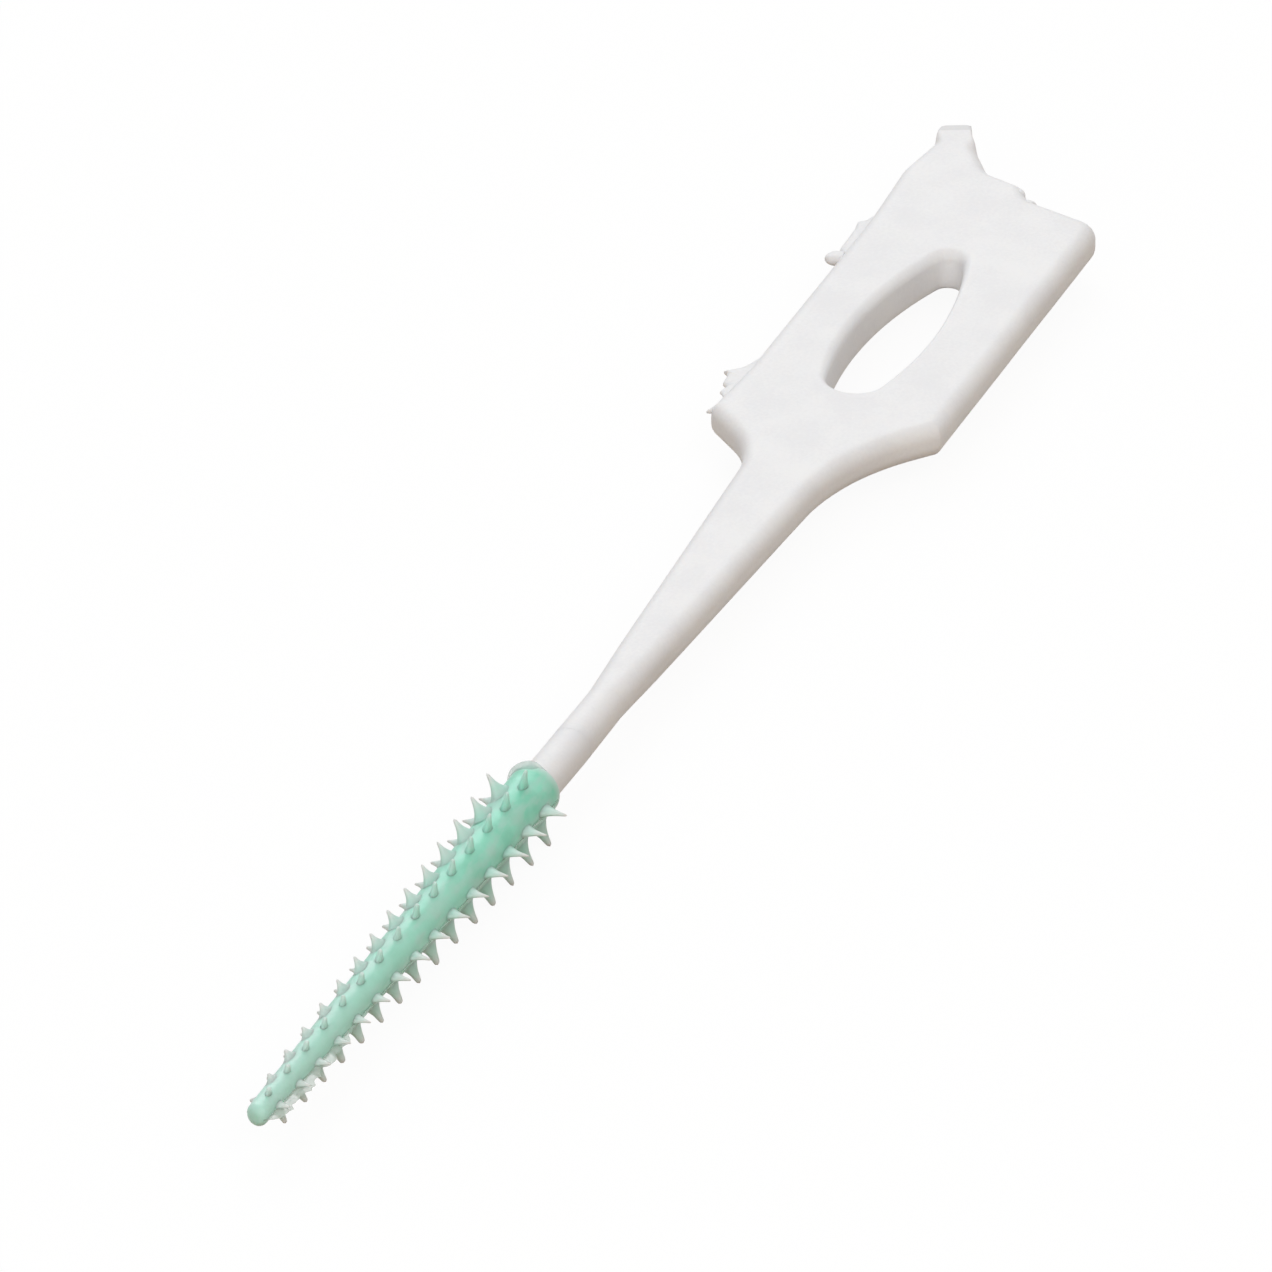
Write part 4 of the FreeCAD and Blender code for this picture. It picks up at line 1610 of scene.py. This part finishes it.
    def build_flash(self, flash: Flash) -> bpy.types.Object:
        """Thin flash where the mould parted, along one side of the sleeve.

        A flat lens in section: its outer edge runs at the skin's radius plus a width that
        is largest at the nose, fades with the distance from it and waves along the sleeve.

        Args:
            flash: Its side, its start and its widths.

        Returns:
            The new object.
        """
        station = np.linspace(flash.start, self.length - self.flash_end, self.flash_rows)
        fade_start = self.flash_fade_share * flash.fade
        near_nose = 1.0 - smoothstep(fade_start, flash.fade, station)
        opening = flash.start - self.flash_lead
        ends = smoothstep(opening, opening + self.flash_opening, station)
        places = np.column_stack([station, np.full((len(station), 2), flash.side * MM)])
        wave = 1.0 + self.flash_wave * ripple(places, self.flash_wave_length, Seed.FLASH_WAVE)
        wave = wave + self.flash_tear * ripple(places, self.flash_tear_length, Seed.FLASH_TEAR)
        width = flash.narrow + (flash.wide - flash.narrow) * near_nose
        width = width * np.maximum(wave, self.flash_least_wave) * ends + self.flash_least
        section = np.array(self.flash_section)
        out = self.rounded_radius(station)[:, None] + width[:, None] * section[None, :, 0]
        up = self.flash_thickness * section[None, :, 1]
        tilt = math.radians(self.flash_tilt)
        axes = np.broadcast_arrays(
            self.along(station)[:, None],
            flash.side * (up * math.sin(tilt) - out * math.cos(tilt)),
            out * math.sin(tilt) + up * math.cos(tilt),
        )
        size = (len(station), len(section))
        thin = self.flash_thin + (1.0 - self.flash_thin) * near_nose
        return self.make(
            flash.name, np.stack(axes, axis=-1).reshape(-1, 3),
            [grid_faces(*size), end_caps(*size)], thin=np.repeat(thin, len(section)),
        )

    def build_film(self) -> bpy.types.Object:
        """Thin lip film that flares at the upper left of the mouth.

        A closed shell turned about the core over part of a circle. Its outer line leaves
        the skin and spreads with t squared, and its flare fades out at both ends.

        Returns:
            The new object.
        """
        degrees = np.linspace(self.film_from, self.film_to, self.film_rows)
        fade = smoothstep(self.film_from, self.film_from + self.film_fade, degrees)
        fade = fade * (1.0 - smoothstep(self.film_to - self.film_fade, self.film_to, degrees))
        places = np.column_stack([degrees * self.film_wave_step, np.zeros((len(degrees), 2))])
        wave = ripple(places, self.film_wave_length, Seed.FILM)
        fade = fade * (1.0 + self.film_wave * wave)
        share = np.linspace(0.0, 1.0, self.film_columns)
        there = np.concatenate([share, share[::-1]])
        inner = np.repeat([0.0, 1.0], self.film_columns)
        thick = self.film_thickness * (1.0 - self.film_thinning * there)
        station = self.length - self.film_run + (self.film_run - self.film_back) * there
        base = self.radius(station) - self.film_sink
        spread = self.film_flare * there ** 2
        radius = base + spread * fade[:, None] - inner * thick
        points = around_core(self.along(station), radius, np.radians(degrees)[:, None])
        size = (len(degrees), len(there))
        thin = self.film_thin + (1.0 - self.film_thin) * there
        return self.make(
            "lip_film", points, [grid_faces(*size), end_caps(*size)],
            thin=np.tile(thin, len(degrees)),
        )


def hang(name: str, data: bpy.types.ID, axes: np.ndarray) -> bpy.types.Object:
    """Lamp or camera as an object of the scene.

    Args:
        name: Name of the object.
        data: The lamp or the camera.
        axes: Columns for what is right of it, above it and behind it, and its place.

    Returns:
        The new object.
    """
    made = bpy.data.objects.new(name, data)
    made.matrix_world = Matrix([*axes.tolist(), [0.0, 0.0, 0.0, 1.0]])
    bpy.context.scene.collection.objects.link(made)
    return made


@dataclass(frozen=True)
class Lamp:
    """Square soft lamp that looks at the middle of the object."""

    name: str
    place: tuple[float, float, float]
    size: float
    power: float
    colour: Colour

    def build(self) -> None:
        """Hang the lamp, with its own axes worked out from its place and the vertical."""
        data = bpy.data.lights.new(self.name, "AREA")
        data.size = self.size
        data.energy = self.power
        data.color = self.colour
        away = np.array(self.place) / np.linalg.norm(self.place)
        side = np.cross([0.0, 0.0, 1.0], away)
        side /= np.linalg.norm(side)
        hang(self.name, data, np.column_stack([side, np.cross(away, side), away, self.place]))


@dataclass(frozen=True)
class Studio:
    """Plain pale floor, soft lamps and the photograph's camera."""

    camera_place: tuple[float, float, float] = (-424.871 * MM, -173.9889 * MM, 276.4567 * MM)
    right: tuple[float, float, float] = (0.38107, -0.92455, 0.0)
    up: tuple[float, float, float] = (0.47618, 0.19627, 0.85717)
    back: tuple[float, float, float] = (-0.79249, -0.32664, 0.51504)
    lens: float = 493.443
    sensor: float = 36.0
    clip: tuple[float, float] = (0.01, 10.0)
    floor_half: float = 1.5
    floor_bounce: Colour = linear(164, 141, 112)
    floor_shadow: float = 0.07
    floor_glow: float = 0.935
    sky: Colour = (0.99, 0.99, 1.0)
    sky_strength: float = 0.41
    lamps: tuple[Lamp, ...] = (
        Lamp("key_lamp", (0.38, 0.24, 0.36), 0.45, 1.36, (0.95, 0.98, 1.0)),
        Lamp("fill_lamp", (-0.48, 0.0, 0.28), 0.5, 1.0, (1.0, 0.97, 0.94)),
        Lamp("side_lamp", (-0.15, -0.33, 0.42), 0.4, 0.75, (1.0, 0.92, 0.82)),
    )

    def build_camera(self) -> None:
        """Camera at the photograph's viewing angle."""
        data = bpy.data.cameras.new("photo_camera")
        data.lens = self.lens
        data.sensor_width = self.sensor
        data.clip_start, data.clip_end = self.clip
        axes = np.column_stack([self.right, self.up, self.back, self.camera_place])
        bpy.context.scene.camera = hang("photo_camera", data, axes)

    def build_floor(self) -> None:
        """Plain floor that the camera sees nearly white, with a faint shadow."""
        corners = np.array([[-1.0, -1.0, 0.0], [1.0, -1.0, 0.0], [1.0, 1.0, 0.0], [-1.0, 1.0, 0.0]])
        floor = mesh_object("floor", corners * self.floor_half, [np.array([[0, 1, 2, 3]])])
        sheet = NodeSheet(bpy.data.materials.new("pale_floor"))
        bounce = sheet.node("ShaderNodeBsdfDiffuse", {"Color": (*self.floor_bounce, 1.0)})
        shadow = (self.floor_shadow, self.floor_shadow, self.floor_shadow, 1.0)
        faint = sheet.node("ShaderNodeBsdfDiffuse", {"Color": shadow})
        glow = sheet.node("ShaderNodeEmission", {"Strength": self.floor_glow})
        pale = sheet.node("ShaderNodeAddShader", {0: faint.outputs[0], 1: glow.outputs[0]})
        shares = {0: sheet.seen(), 1: bounce.outputs[0], 2: pale.outputs[0]}
        floor.data.materials.append(sheet.finish(sheet.node("ShaderNodeMixShader", shares)))

    def build_world(self) -> None:
        """World that the camera and the gloss see white, and that lights the object dimly."""
        sheet = NodeSheet(bpy.data.worlds.new("studio_world"))
        sky = {"Color": (*self.sky, 1.0), "Strength": self.sky_strength}
        dim = sheet.node("ShaderNodeBackground", sky)
        white = sheet.node("ShaderNodeBackground", {"Color": (1.0, 1.0, 1.0, 1.0)})
        shares = {0: sheet.seen(), 1: dim.outputs[0], 2: white.outputs[0]}
        bpy.context.scene.world = sheet.finish(sheet.node("ShaderNodeMixShader", shares))

    def build(self) -> None:
        """Floor, world, lamps, camera and the plain view transform."""
        self.build_floor()
        self.build_world()
        for lamp in self.lamps:
            lamp.build()
        self.build_camera()
        bpy.context.scene.view_settings.view_transform = "Standard"


def dress(piece: bpy.types.Object, material: bpy.types.Material) -> None:
    """Give a piece one material.

    Args:
        piece: The piece.
        material: Its only material.
    """
    piece.data.materials.clear()
    piece.data.materials.append(material)
    log.info("piece %s, %d faces, %s", piece.name, len(piece.data.polygons), material.name)


def main() -> None:
    """Build every piece around the frame, dress it and light it."""
    logging.basicConfig(level=logging.INFO, format="%(message)s")
    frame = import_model()
    moulding = WhiteMoulding()
    datum = Datum.from_frame(moulding.reach, moulding.plate_right)
    moulding.datum = datum
    white = MouldedWhite().build()
    mint = MintRubber("mint_rubber").build()
    film = MintRubber("mint_film", thin=linear(206, 236, 229), alpha=0.45).build()

    # Three points on the core axis along the neck, at the shares of its length.
    bend_start, middle, bend_end = [
        datum.joint_place(-share * datum.neck_length) for share in BEND_SHARES
    ]
    body = moulding.build()
    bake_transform(body)
    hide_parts("handle")
    tip = NeckTip(datum).build()
    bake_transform(tip)
    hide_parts("flex_neck")
    tears = TornFlash(datum).build()
    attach(tears, "handle")
    for piece in (body, tip, tears):
        dress(piece, white)
    # The hidden core keeps its CAD mesh, and takes the moulding's material.
    for slot in frame["nodes"]["core_spine"].material_slots:
        slot.material = white

    sleeve = MintSleeve(datum)
    skin = sleeve.build_skin()
    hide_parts("bristle_sleeve")
    films = [sleeve.build_film(), *(sleeve.build_flash(flash) for flash in sleeve.flashes)]
    rows = [sleeve.build_row(row, Seed.THORNS + place) for place, row in enumerate(sleeve.rows)]
    for material, pieces in ((film, films), (mint, [skin, *rows])):
        for piece in pieces:
            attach(piece, "brush")
            dress(piece, material)

    Studio().build()


if __name__ == "__main__":
    main()
